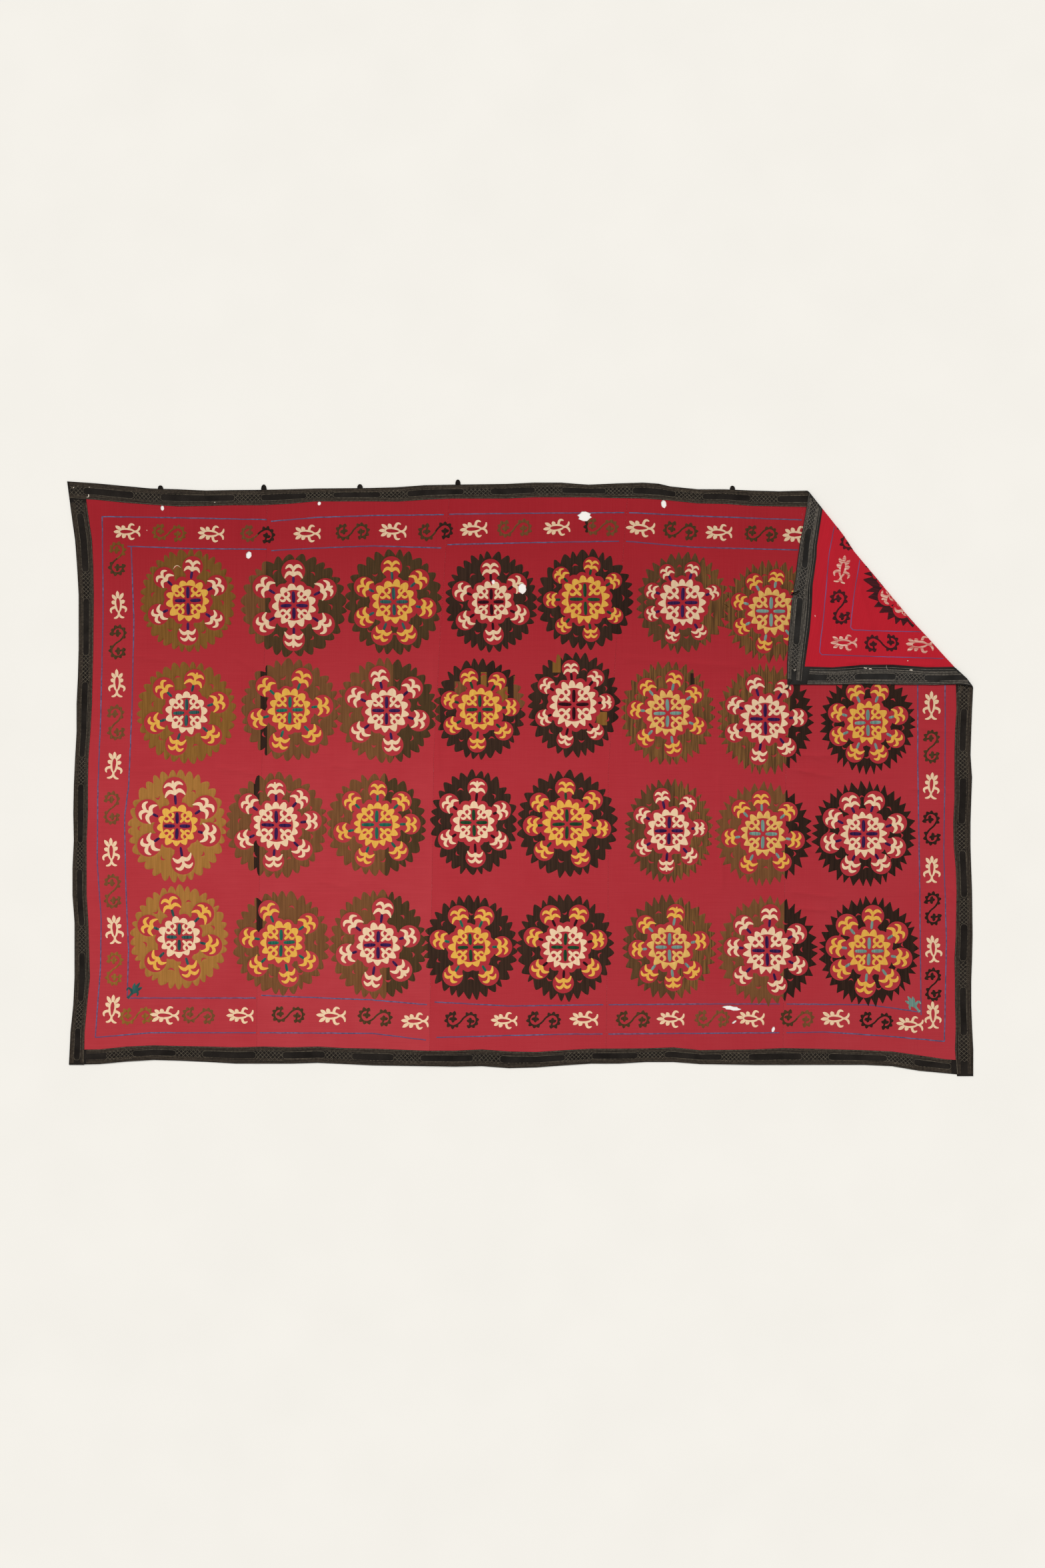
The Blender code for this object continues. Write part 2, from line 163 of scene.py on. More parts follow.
# ---------------------------------------------------------------- what is embroidered, placed by pixels
# A rosette: its centre and outer size, its number of teeth, the reach of its sun, how sharp the teeth
# are, the threads of the ring to the left and right of the seam, of the sun, the sprigs, the cross and
# the stems, and the directions of its niches
Rosette = namedtuple("Rosette", "x y wide high teeth sun sharp ring right sunny sprigs cross stems niches")
ROSETTES = [
    Rosette(282, 901, 144, 154, 35, 32.5, 0.2, "light_olive", "", "yellow", "cream", "purple", "",
            (28, 82, 136, 205, 270, 324)),
    Rosette(441, 908, 160, 155, 28, 33, 0.3, "olive", "dark_olive", "cream", "cream", "purple", "",
            (27, 91, 148, 212, 270, 327)),
    Rosette(591, 903, 147, 158, 28, 33, 0.4, "dark_olive", "", "yellow", "yellow", "teal", "",
            (42, 94, 153, 208, 250, 292, 349)),
    Rosette(737, 903, 140, 150, 33, 30.5, 0.4, "brown_black", "", "cream", "cream", "maroon", "",
            (36, 91, 160, 216, 274, 336)),
    Rosette(878, 899, 146, 150, 29, 36.5, 0.5, "brown_black", "black", "yellow", "yellow", "green", "",
            (33, 79, 135, 181, 231, 280, 331)),
    Rosette(1024, 904, 140, 151, 32, 36, 0.7, "umber", "", "cream", "cream", "purple", "",
            (18, 73, 117, 159, 200, 253, 300)),
    Rosette(1157, 917, 146, 152, 37, 35, 0.9, "streaked_olive", "", "straw", "yellow", "grey_teal", "",
            (30, 81, 120, 163, 208, 258, 308)),
    Rosette(280, 1069, 150, 152, 33, 32, 0.2, "light_olive", "", "cream", "yellow", "teal", "",
            (18, 76, 133, 198, 252, 318)),
    Rosette(435, 1065, 149, 153, 29, 32, 0.3, "olive", "olive", "yellow", "yellow", "green_teal", "",
            (7, 69, 135, 196, 252, 312)),
    Rosette(580, 1066, 152, 157, 31, 33, 0.4, "olive", "", "cream", "cream", "purple", "",
            (42, 102, 156, 219, 280, 343)),
    Rosette(720, 1064, 138, 152, 31, 32.5, 0.5, "brown_black", "", "yellow", "yellow", "green", "",
            (4, 58, 109, 163, 211, 265, 318)),
    Rosette(861, 1057, 140, 158, 31, 36, 0.6, "brown_black", "black", "cream", "cream", "maroon", "",
            (4, 51, 95, 145, 204, 256, 309)),
    Rosette(1002, 1070, 143, 156, 34, 34, 0.8, "streaked_olive", "", "straw", "yellow", "grey_teal", "",
            (36, 79, 129, 174, 228, 279, 337)),
    Rosette(1148, 1079, 147, 165, 39, 35.5, 1.0, "streaked_olive", "black", "cream", "cream", "purple", "",
            (3, 58, 106, 155, 204, 260, 308)),
    Rosette(1302, 1084, 145, 152, 37, 32, 1.0, "black", "", "yellow", "yellow", "grey_teal", "",
            (13, 69, 112, 162, 205, 247, 289, 330)),
    Rosette(266, 1239, 148, 168, 32, 31.5, 0.2, "gold_olive", "", "yellow", "cream", "purple", "",
            (34, 94, 154, 214, 279, 345)),
    Rosette(415, 1238, 154, 158, 31, 35.5, 0.3, "olive", "olive", "cream", "cream", "purple", "",
            (7, 49, 91, 142, 204, 265, 316)),
    Rosette(565, 1237, 151, 153, 29, 34.5, 0.4, "olive", "", "yellow", "yellow", "green_teal", "",
            (1, 43, 88, 136, 193, 250, 310)),
    Rosette(711, 1234, 132, 158, 29, 31, 0.5, "brown_black", "", "cream", "cream", "green", "maroon",
            (24, 84, 142, 213, 273, 324)),
    Rosette(851, 1236, 152, 160, 31, 36, 0.6, "brown_black", "brown_black", "yellow", "yellow", "green", "",
            (43, 93, 142, 183, 229, 292, 352)),
    Rosette(1004, 1246, 134, 156, 37, 33, 0.8, "umber", "", "cream", "cream", "purple", "",
            (5, 55, 102, 150, 213, 265, 309)),
    Rosette(1145, 1251, 148, 155, 34, 34, 1.0, "olive", "black", "straw", "yellow", "grey_teal", "",
            (42, 93, 132, 187, 244, 304, 349)),
    Rosette(1296, 1251, 157, 157, 37, 34, 1.0, "black", "", "cream", "cream", "purple", "",
            (18, 72, 114, 153, 195, 247, 300, 337)),
    Rosette(269, 1406, 148, 156, 34, 31.5, 0.2, "gold_olive", "", "cream", "yellow", "teal", "",
            (45, 105, 159, 225, 288, 346)),
    Rosette(422, 1414, 146, 156, 31, 32, 0.4, "olive", "olive", "yellow", "yellow", "green_teal", "",
            (36, 111, 171, 225, 282, 325)),
    Rosette(567, 1417, 146, 164, 32, 32.5, 0.4, "olive", "", "cream", "cream", "purple", "",
            (15, 82, 141, 198, 261, 312)),
    Rosette(706, 1421, 143, 155, 33, 32, 0.5, "brown_black", "", "yellow", "yellow", "green", "green_teal",
            (1, 66, 111, 166, 238, 303)),
    Rosette(848, 1421, 147, 160, 32, 34, 0.6, "brown_black", "brown_black", "cream", "yellow", "green",
            "maroon", (13, 67, 115, 162, 220, 267, 321)),
    Rosette(1004, 1421, 142, 156, 31, 33, 0.8, "umber", "", "straw", "yellow", "grey_teal", "",
            (12, 79, 136, 184, 232, 277, 315)),
    Rosette(1151, 1426, 152, 164, 35, 35, 1.0, "olive", "black", "cream", "cream", "purple", "",
            (30, 85, 133, 174, 226, 286, 334)),
    Rosette(1304, 1427, 152, 164, 37, 33, 1.0, "black", "", "yellow", "yellow", "grey_teal", "",
            (34, 84, 130, 172, 213, 264, 306, 348)),
]

# Where a ring was worked on with another thread, by pixels
Mend = namedtuple("Mend", "left top right bottom thread")
MENDS = [
    Mend(391, 980, 401, 1160, "black"), Mend(381, 1160, 389.5, 1320, "black"),
    Mend(385, 1345, 394, 1398, "black"), Mend(682, 1022, 700, 1046, "olive"),
    Mend(721.4, 1008, 730.3, 1034, "light_olive"), Mend(730.3, 985, 768, 1016, "black"),
    Mend(745, 1030, 762, 1056, "light_olive"), Mend(762, 1012, 770.5, 1046, "black"),
    Mend(770.5, 1014, 790, 1062, "olive"), Mend(829, 980, 841.5, 1009, "light_olive"),
    Mend(911, 1000, 919, 1145, "black"), Mend(895, 1068, 911, 1088, "light_olive"),
    Mend(1036, 1010, 1042, 1029, "black"), Mend(918, 870, 932, 960, "black"),
    Mend(578, 1160, 642, 1320, "dark_olive"), Mend(580, 1330, 642, 1500, "dark_olive"),
    Mend(590, 985, 660, 1145, "dark_olive"), Mend(1012, 1165, 1075, 1325, "streaked_olive"),
    Mend(868, 768, 882, 799, "black"), Mend(1012, 1340, 1078, 1500, "streaked_olive"),
    Mend(1052, 840, 1100, 985, "streaked_olive"),
]

# The couched blue lines, each broken where it crosses a seam
BLUE_LINES = {
    "top_outer": [
        [(153, 775), (277, 777), (400, 779.6)], [(407, 782), (480, 776), (560, 773.5), (666, 772)],
        [(674, 771.5), (800, 770), (937, 769)], [(944, 769), (1039, 774), (1120, 777), (1203, 780)],
    ],
    "top_inner": [
        [(191, 819.5), (290, 823), (400, 824)], [(407, 826), (480, 822), (560, 819), (662, 822)],
        [(671, 817), (800, 814), (929, 812)], [(939, 812), (1041, 821), (1120, 823), (1197, 825)],
    ],
    "left_outer": [[(153.5, 775), (155, 914), (151, 1083), (147, 1180), (146, 1294), (152, 1380),
                    (151, 1450), (143, 1556)]],
    "left_inner": [[(197, 821), (201, 930), (198, 1067), (193, 1180), (187, 1226), (189, 1334),
                    (193, 1425), (191, 1497)]],
    "bottom_inner": [
        [(191, 1497), (290, 1497), (384, 1497)], [(392, 1493), (560, 1500), (641, 1507)],
        [(652, 1503), (765, 1509), (905, 1507)], [(913, 1507), (1060, 1506), (1170, 1506)],
        [(1180, 1506), (1303, 1507), (1380, 1518)],
    ],
    "bottom_outer": [
        [(143, 1556), (227, 1549), (384, 1549)], [(390, 1549), (560, 1550), (639, 1560)],
        [(655, 1556), (852, 1551), (904, 1551)], [(913, 1551), (1170, 1549)],
        [(1180, 1549), (1240, 1548), (1330, 1554), (1417, 1562)],
    ],
    "right_inner": [[(1377, 1000), (1377, 1150), (1380, 1335), (1382, 1528)]],
    "right_outer": [[(1418, 1000), (1418, 1150), (1416, 1280), (1420, 1409), (1417, 1562)]],
}

# The border's palmettes and scrolls, between two blue lines: place along the side, and for a scroll the
# threads of its first and second ring
BORDERS = {
    "top": [
        (190,), (254, "light_olive"), (316,), (387, "olive", "black"), (460,), (529, "dark_olive"), (589,),
        (654, "dark_olive", "black"), (710,), (772, "olive"), (835,), (902, "olive"), (961,),
        (1021, "dark_olive"), (1078,), (1142, "dark_olive"), (1194,),
    ],
    "left": [
        (838, "light_olive", "dark_olive"), (907,), (963, "dark_olive"), (1025,), (1084, "olive"),
        (1147.5,), (1212, "olive"), (1278,), (1337, "olive"), (1394,), (1453, "light_olive"), (1513,),
    ],
    "bottom": [
        (205, "light_olive"), (247,), (298, "olive"), (360,), (433, "dark_olive"), (497,),
        (563, "dark_olive"), (622,), (693, "brown_black"), (756,), (816, "brown_black"), (876,),
        (950, "dark_olive"), (1006,), (1069, "olive"), (1126,), (1196, "dark_olive", "olive"), (1253,),
        (1315, "black"), (1365,),
    ],
    "right": [
        (1058,), (1120, "dark_olive"), (1178,), (1242, "black"), (1303.5,), (1363, "black"), (1423,),
        (1477, "black"), (1522.5,),
    ],
}

# Middles of the lattice blocks stitched on the band: their pixels along it, and where the corner is
# folded the pixels where they lie now
LATTICES = {
    "band_top": (105, 221, 372, 480, 591, 716, 823, 929, 1034, 1146),
    "band_left": (750, 878, 1003, 1156, 1284, 1409, 1522),
    "band_bottom": (179, 284, 404, 508, 611, 730, 868, 977, 1103, 1223, 1351),
    "band_right": (1043, 1147, 1256, 1366, 1461, 1573),
}
BACK_LATTICES = {
    "band_top": [(1222, 773), (1207, 876), (1192, 987)],
    "band_right": [(1260, 1017), (1365, 1017)],
}

# Soft creases of the cloth: a ridge between two pixels, this wide and high in millimetres
Crease = namedtuple("Crease", "x0 y0 x1 y1 wide high")
CREASES = [
    Crease(1196, 1133, 1250, 1134, 9, 2.4), Crease(1188, 1155, 1222, 1157, 8, 1.9),
    Crease(1204, 1158, 1248, 1165, 8, 2.1), Crease(1226, 1136, 1238, 1142, 7, 1.6),
    Crease(1208, 1254, 1240, 1266, 9, 2.4), Crease(1212, 1274, 1240, 1282, 9, 2.2),
    Crease(1205, 1262, 1228, 1290, 9, 1.6), Crease(1190, 1338, 1252, 1346, 9, 2.1),
    Crease(1382, 1092, 1424, 1098, 9, 1.9), Crease(1368, 1183, 1424, 1190, 9, 2.1),
    Crease(1372, 1338, 1424, 1344, 9, 1.9), Crease(330, 1152, 380, 1160, 10, 1.9),
    Crease(352, 986, 378, 1002, 9, 1.6), Crease(500, 1148, 532, 1154, 9, 1.6),
    Crease(648, 985, 658, 1150, 11, 1.6), Crease(940, 988, 1108, 1000, 12, 1.9),
    Crease(780, 1328, 802, 1348, 9, 1.6), Crease(1078, 1165, 1084, 1330, 10, 1.8),
    Crease(206, 985, 246, 990, 10, 1.6), Crease(480, 1322, 520, 1332, 10, 1.6),
    Crease(1359, 1548, 1384, 1586, 8, 2.6), Crease(1424, 1331, 1437, 1343, 6, 2.0),
    Crease(1424, 1347, 1437, 1358, 6, 2.0), Crease(1423, 1364, 1434, 1372, 6, 1.8),
    Crease(1196, 1362, 1240, 1366, 8, 2.2), Crease(1030, 1560, 1060, 1585, 9, 1.8),
    Crease(300, 1500, 322, 1540, 9, 1.8), Crease(150, 1240, 158, 1290, 9, 1.6),
]
FLAP_CREASES = [
    Crease(1290, 886, 1307, 941, 12, 3.4), Crease(1244, 806, 1262, 870, 15, 2.7),
    Crease(1330, 925, 1366, 980, 14, 2.5), Crease(1218, 860, 1228, 950, 12, 2.0),
    Crease(1272, 994, 1400, 998, 9, 2.4), Crease(1296, 866, 1312, 868, 8, 2.7),
]

# ---------------------------------------------------------------- the flat cloth and how it lies
FOLD_LENGTH = float(np.hypot(*(FOLD_END - FOLD_START)))
FOLD_ALONG = (FOLD_END - FOLD_START) / FOLD_LENGTH
FOLD_OUT = np.array((-FOLD_ALONG[1], FOLD_ALONG[0]))
HALF_TURN = math.pi * FOLD_RADIUS


def spot(x, y):
    """The millimetres on the cloth under a pixel of the photograph."""
    return (x - ORIGIN_PX[0]) * PIXEL, (ORIGIN_PX[1] - y) * PIXEL


def read_off(rows, at, column):
    return np.interp(at, [row[0] for row in rows], [getattr(row, column) for row in rows])


def smooth(share):
    share = np.clip(share, 0, 1)
    return share * share * (3 - 2 * share)


def ridges(creases, places):
    """The height of the soft creases over places, in millimetres."""
    high = np.zeros(len(places))
    for crease in creases:
        start, end = np.array(spot(crease.x0, crease.y0)), np.array(spot(crease.x1, crease.y1))
        run = end - start
        share = (places - start) @ run / (run @ run)
        nearest = start + np.clip(share, 0, 1)[:, None] * run
        away = np.hypot(*(places - nearest).T)
        high += crease.high * np.exp(-((away / crease.wide) ** 2))
    return high


def unevenness(places):
    """The cloth lies a little off the floor in long low swells, and along its seams."""
    x, y = places.T
    swell = 0.5 + 0.3 * np.sin(x / 97 + 1.3 * np.sin(y / 141)) + 0.2 * np.sin(y / 73 + x / 211)
    for seam in SEAMS:
        away = x - read_off(seam, y, "across")
        swell += 0.7 * (0.6 + 0.4 * np.sin(y / 31)) * np.exp(-((away / 14) ** 2))
    return swell


def covered(flat):
    """How far the folded corner covers the cloth below it, from 0 to 1."""
    from_start = flat - FOLD_START
    along, out = from_start @ FOLD_ALONG, from_start @ FOLD_OUT
    bow = read_off(FOLD_BOW, along, "out")
    mirrored = FOLD_START + along[:, None] * FOLD_ALONG + (2 * bow - out)[:, None] * FOLD_OUT
    room = np.minimum(
        read_off(RIGHT, mirrored[:, 1], "outer") - mirrored[:, 0],
        read_off(TOP, mirrored[:, 0], "outer") - mirrored[:, 1],
    )
    return smooth((room + 35) / 30) * (out < bow)


def laid(flat, rise):
    """Where points of the flat cloth lie, in metres, given their rise above its underside."""
    from_start = flat - FOLD_START
    along = from_start @ FOLD_ALONG
    bow = read_off(FOLD_BOW, along, "out")
    past = from_start @ FOLD_OUT - bow
    turned = past + FOLD_RADIUS
    angle = np.clip(turned, 0, HALF_TURN) / FOLD_RADIUS
    beyond = np.maximum(turned - HALF_TURN, 0)
    top = 2 * FOLD_RADIUS
    settled = top + (FLAP_REST - top) * smooth(beyond / FLAP_SETTLES)
    level, over = turned <= 0, turned > HALF_TURN
    across = np.where(level, past, (FOLD_RADIUS - rise) * np.sin(angle) - FOLD_RADIUS)
    across = np.where(over, -FOLD_RADIUS - beyond, across)
    height = np.where(level, rise, FOLD_RADIUS - (FOLD_RADIUS - rise) * np.cos(angle))
    height = np.where(over, settled - rise, height)
    place = FOLD_START + along[:, None] * FOLD_ALONG + (across + bow)[:, None] * FOLD_OUT
    open_cloth = (1 - covered(flat)) * smooth(-past / 60) * (ridges(CREASES, flat) + unevenness(flat))
    flap = smooth(beyond / 60) * ridges(FLAP_CREASES, place)
    height += np.where(over, flap, np.where(level, open_cloth, 0))
    return np.column_stack((place, height)) * MM


def unfolded(seen):
    """The flat cloth's place for a point seen on the folded corner."""
    from_start = np.asarray(seen, float) - FOLD_START
    along = from_start @ FOLD_ALONG
    bow = read_off(FOLD_BOW, along, "out")
    past = -(from_start @ FOLD_OUT - bow) + (math.pi - 2) * FOLD_RADIUS
    return FOLD_START + np.multiply.outer(along, FOLD_ALONG) + np.multiply.outer(past + bow, FOLD_OUT)


def panel_at(places):
    """The number of the panel that a place is on."""
    return 1 + sum((places[:, 0] > read_off(seam, places[:, 1], "across")).astype(int) for seam in SEAMS)


# ---------------------------------------------------------------- outlines of the cotton and the band
def between(rows, low, high):
    return [low, *[row[0] for row in rows if low + 1 < row[0] < high - 1], high]


def across_edge(rows, column, low, high, shift):
    return [(x, float(read_off(rows, x, column)) + shift) for x in between(rows, low, high)]


def up_edge(rows, column, low, high, shift):
    return [(float(read_off(rows, y, column)) + shift, y) for y in between(rows, low, high)]


def meeting(side, side_column, edge, edge_column="inner"):
    """Where an upright edge or seam meets an edge of the band at the top or bottom."""
    x = 0
    for _ in range(8):
        y = float(read_off(edge, x, edge_column))
        x = float(read_off(side, y, side_column))
    return x, y


def panel_outline(left, right):
    bottom_left, bottom_right = meeting(*left, BOTTOM), meeting(*right, BOTTOM)
    top_left, top_right = meeting(*left, TOP), meeting(*right, TOP)
    low, high = bottom_left[0] + HALF_GAP, bottom_right[0] - HALF_GAP
    bottom = across_edge(BOTTOM, "inner", low, high, HALF_GAP)
    top = across_edge(TOP, "inner", top_left[0] + HALF_GAP, top_right[0] - HALF_GAP, -HALF_GAP)
    left_side = up_edge(*left, bottom_left[1] + HALF_GAP, top_left[1] - HALF_GAP, HALF_GAP)
    right_side = up_edge(*right, bottom_right[1] + HALF_GAP, top_right[1] - HALF_GAP, -HALF_GAP)
    return [*bottom, *right_side[1:-1], *reversed(top), *reversed(left_side[1:-1])]


def top_band_outline():
    outer = across_edge(TOP, "outer", TOP[0].along, BUTT_OUTER[0] - SEAM_GAP, 0)
    low = meeting(LEFT, "outer", TOP)[0]
    inner = across_edge(TOP, "inner", low, BUTT_INNER[0] - SEAM_GAP, HALF_GAP)
    return [*inner, *reversed(outer)]


def right_band_outline():
    inner = up_edge(RIGHT, "inner", RIGHT[0].along, BUTT_INNER[1], HALF_GAP)[:-1]
    outer = up_edge(RIGHT, "outer", RIGHT[0].along, RIGHT[-1].along, 0)
    return [*outer, BUTT_OUTER, BUTT_INNER, *reversed(inner)]


def left_band_outline():
    inner_top, outer_top = (meeting(LEFT, column, TOP)[1] - HALF_GAP for column in ("inner", "outer"))
    inner = up_edge(LEFT, "inner", LEFT[0].along, inner_top, -HALF_GAP)
    outer = up_edge(LEFT, "outer", LEFT[0].along, outer_top, 0)
    return [*inner, *reversed(outer)]


def bottom_band_outline():
    rows = {}
    for column, shift in (("outer", 0), ("inner", -HALF_GAP)):
        low = meeting(LEFT, "inner", BOTTOM, column)[0] + HALF_GAP
        high = meeting(RIGHT, "inner", BOTTOM, column)[0] - HALF_GAP
        rows[column] = across_edge(BOTTOM, column, low, high, shift)
    return [*rows["outer"], *reversed(rows["inner"])]


def loop_outline(loop):
    points = []
    for angle in np.linspace(0, math.pi, 17):
        x = loop.across + loop.wide / 2 * math.cos(angle)
        foot = float(read_off(TOP, x, "outer")) + SEAM_GAP
        points.append((x, foot + loop.high * math.sin(angle) ** 0.8))
    return points


def hole_rim(index, hole):
    turn = math.radians(hole.turn)
    rim = []
    for angle in np.linspace(0, 2 * math.pi, HOLE_POINTS, endpoint=False):
        ragged = 1 + hole.ragged * math.sin(3 * angle + index) * math.cos(5 * angle)
        x = hole.wide / 2 * ragged * math.cos(angle)
        y = hole.high / 2 * ragged * math.sin(angle)
        rim.append((
            hole.across + x * math.cos(turn) - y * math.sin(turn),
            hole.up + x * math.sin(turn) + y * math.cos(turn),
        ))
    return rim


# ---------------------------------------------------------------- flat shapes
def moved(shape, place, turn=0.0, scale=1.0, flip=1):
    """A shape scaled, mirrored, turned by degrees and put in its place."""
    x, y = np.asarray(shape, float).T * scale
    y = y * flip
    c, s = math.cos(math.radians(turn)), math.sin(math.radians(turn))
    return np.column_stack((place[0] + c * x - s * y, place[1] + s * x + c * y))


def round_shape(radius, points, squash=1.0, centre=(0, 0)):
    angle = np.linspace(0, 2 * math.pi, points, endpoint=False)
    x, y = radius * np.cos(angle), radius * squash * np.sin(angle)
    return np.column_stack((centre[0] + x, centre[1] + y))


def leaf(start, end, wide, full=0.5, points=4):
    """A leaf from a point to another, widest part of the way along."""
    start, end = np.array(start, float), np.array(end, float)
    run = end - start
    side = np.array((-run[1], run[0])) / np.hypot(*run)
    share = np.linspace(0, 1, 2 * points + 1)
    half = wide / 2 * np.sin(math.pi * share ** (math.log(0.5) / math.log(full))) ** 0.7
    spine = start + share[:, None] * run
    return np.vstack((spine - half[:, None] * side, (spine + half[:, None] * side)[-2:0:-1]))


def ribbon(points, wide):
    """A stroke along points; wide is its width, or its width at each point."""
    points = np.asarray(points, float)
    run = np.gradient(points, axis=0)
    side = np.column_stack((-run[:, 1], run[:, 0])) / np.hypot(*run.T)[:, None]
    half = np.broadcast_to(np.asarray(wide, float) / 2, len(points))[:, None]
    return np.vstack((points - side * half, (points + side * half)[::-1]))


def arc(centre, radius, start, end, points):
    angle = np.radians(np.linspace(start, end, points))
    return np.column_stack((centre[0] + radius * np.cos(angle), centre[1] + radius * np.sin(angle)))


def curve(a, b, c, points=7):
    """A bent line from a to c, pulled towards b."""
    t = np.linspace(0, 1, points)[:, None]
    return (1 - t) ** 2 * np.array(a) + 2 * t * (1 - t) * np.array(b) + t**2 * np.array(c)


def spaced(points, step):
    """A line through points, with a point every step."""
    points = np.asarray(points, float)
    run = np.concatenate(([0], np.cumsum(np.hypot(*np.diff(points, axis=0).T))))
    at = np.linspace(0, run[-1], max(int(run[-1] / step), 2))
    return np.column_stack([np.interp(at, run, column) for column in points.T])


def subdivided(outline, step):
    """A closed outline with its corners kept and no edge longer than a step."""
    points = []
    for start, end in zip(outline, [*outline[1:], outline[0]]):
        start, end = np.array(start, float), np.array(end, float)
        parts = max(math.ceil(np.hypot(*(end - start)) / step), 1)
        points += [start + (end - start) * k / parts for k in range(parts)]
    return np.array(points)


def area_of(loop):
    x, y = np.asarray(loop, float).T
    return 0.5 * float(x @ np.roll(y, -1) - y @ np.roll(x, -1))


def inside(places, loop):
    """Which places are inside an outline."""
    hit = np.zeros(len(places), bool)
    px, py = places.T
    for (x0, y0), (x1, y1) in zip(loop, np.roll(loop, -1, axis=0)):
        if y0 != y1:
            hit ^= ((y0 > py) != (y1 > py)) & (px < (x1 - x0) * (py - y0) / (y1 - y0) + x0)
    return hit


def inner_points(loops, keep_off):
    """Grid points inside the outlines and clear of every line."""
    corners = np.vstack(loops)
    low = np.ceil(corners.min(0) / GRID) * GRID
    high = corners.max(0)
    x, y = np.meshgrid(np.arange(low[0], high[0], GRID), np.arange(low[1], high[1], GRID))
    grid = np.column_stack((x.ravel(), y.ravel()))
    if not len(grid):
        return grid
    grid = grid[np.any([inside(grid, loop) for loop in loops], axis=0)]
    for line in keep_off:
        for start, end in zip(line[:-1], line[1:]):
            if not len(grid):
                return grid
            run = end - start
            long = max(run @ run, 1e-9)
            share = np.clip((grid - start) @ run / long, 0, 1)
            grid = grid[np.hypot(*(grid - start - share[:, None] * run).T) > CLEAR]
    return grid


def fill(plus, minus=(), cuts=(), over=(), gone=()):
    """Triangles of what is inside the first shapes and outside the second, with edges along the cuts.

    The shapes of over are kept inside the second ones too, and nothing is kept inside those of gone.
    """
    kinds = [len(plus), len(over), len(minus), len(gone)]
    first_over, first_minus, first_gone = np.cumsum(kinds)[:3]
    loops = [np.asarray(loop, float) for loop in (*plus, *over, *minus, *gone)]
    loops = [loop if area_of(loop) > 0 else loop[::-1] for loop in loops]
    closed = [np.vstack((loop, loop[:1])) for loop in loops]
    cuts = [np.asarray(cut, float) for cut in cuts]
    points, faces, edges = [], [], []
    for loop in loops:
        faces.append(list(range(len(points), len(points) + len(loop))))
        points.extend(map(Vector, loop))
    for cut in cuts:
        edges.extend((len(points) + i, len(points) + i + 1) for i in range(len(cut) - 1))
        points.extend(map(Vector, cut))
    points.extend(map(Vector, inner_points(loops[:first_minus], [*closed, *cuts])))
    verts, _, triangles, _, _, owners = delaunay_2d_cdt(points, edges, faces, 0, 1e-3)
    kept = []
    for triangle, own in zip(triangles, owners):
        if own and max(own) < first_gone:
            raised = any(first_over <= i < first_minus for i in own)
            if raised or (min(own) < first_over and max(own) < first_minus):
                kept.append(triangle)
    return np.array([tuple(v) for v in verts]), np.array(kept, int).reshape(-1, 3)


# ---------------------------------------------------------------- from flat pieces to cloth
def select_only(obj):
    bpy.ops.object.select_all(action="DESELECT")
    obj.select_set(True)
    bpy.context.view_layer.objects.active = obj


def flat_object(name, points, faces):
    """A flat mesh of the pieces' triangles, in millimetres."""
    used = np.unique(faces)
    renumbered = np.searchsorted(used, faces)
    mesh = bpy.data.meshes.new(name)
    places = np.column_stack((points[used], np.zeros(len(used))))
    mesh.from_pydata(places.tolist(), [], renumbered.tolist())
    obj = bpy.data.objects.new(name, mesh)
    bpy.context.scene.collection.objects.link(obj)
    return obj


def thicken(obj, thick):
    """Cloth of even thickness from its flat piece."""
    select_only(obj)
    bpy.ops.object.mode_set(mode="EDIT")
    bpy.ops.mesh.select_all(action="SELECT")
    bpy.ops.mesh.extrude_region_move(TRANSFORM_OT_translate={"value": (0, 0, thick)})
    bpy.ops.mesh.select_all(action="SELECT")
    bpy.ops.mesh.normals_make_consistent(inside=False)
    bpy.ops.object.mode_set(mode="OBJECT")


def raise_patches(obj, proud, edge):
    """Low pads with sloping edges, as laid threads have, from flat patches."""
    select_only(obj)
    bpy.ops.object.mode_set(mode="EDIT")
    bpy.ops.mesh.select_all(action="SELECT")
    bpy.ops.mesh.extrude_region_move(TRANSFORM_OT_translate={"value": (0, 0, SUNK)})
    bpy.ops.mesh.inset(thickness=edge, depth=proud, use_even_offset=False)
    bpy.ops.mesh.select_all(action="SELECT")
    bpy.ops.mesh.normals_make_consistent(inside=False)
    bpy.ops.object.mode_set(mode="OBJECT")


def lay_down(obj, underside, reverse=False):
    """Puts a piece's mesh where the cloth lies; its UV map and its underside are kept as attributes."""
    mesh = obj.data
    co = np.empty(len(mesh.vertices) * 3)
    mesh.vertices.foreach_get("co", co)
    co = co.reshape(-1, 3)
    corner = np.empty(len(mesh.loops), int)
    mesh.loops.foreach_get("vertex_index", corner)
    cut = mesh.uv_layers.new(name="cut")
    cut.data.foreach_set("uv", (co[corner, :2] * MM).ravel())
    under = mesh.attributes.new("underside", "FLOAT", "POINT")
    under.data.foreach_set("value", (co[:, 2] < 1e-3).astype(np.float32))
    rise = underside - co[:, 2] if reverse else underside + co[:, 2]
    mesh.vertices.foreach_set("co", laid(co[:, :2], rise).ravel())
    if reverse:
        mesh.flip_normals()
    mesh.update()
    select_only(obj)
    bpy.ops.object.shade_smooth_by_angle(angle=math.radians(35))
    obj.select_set(False)
    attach(obj, "root")
    return obj


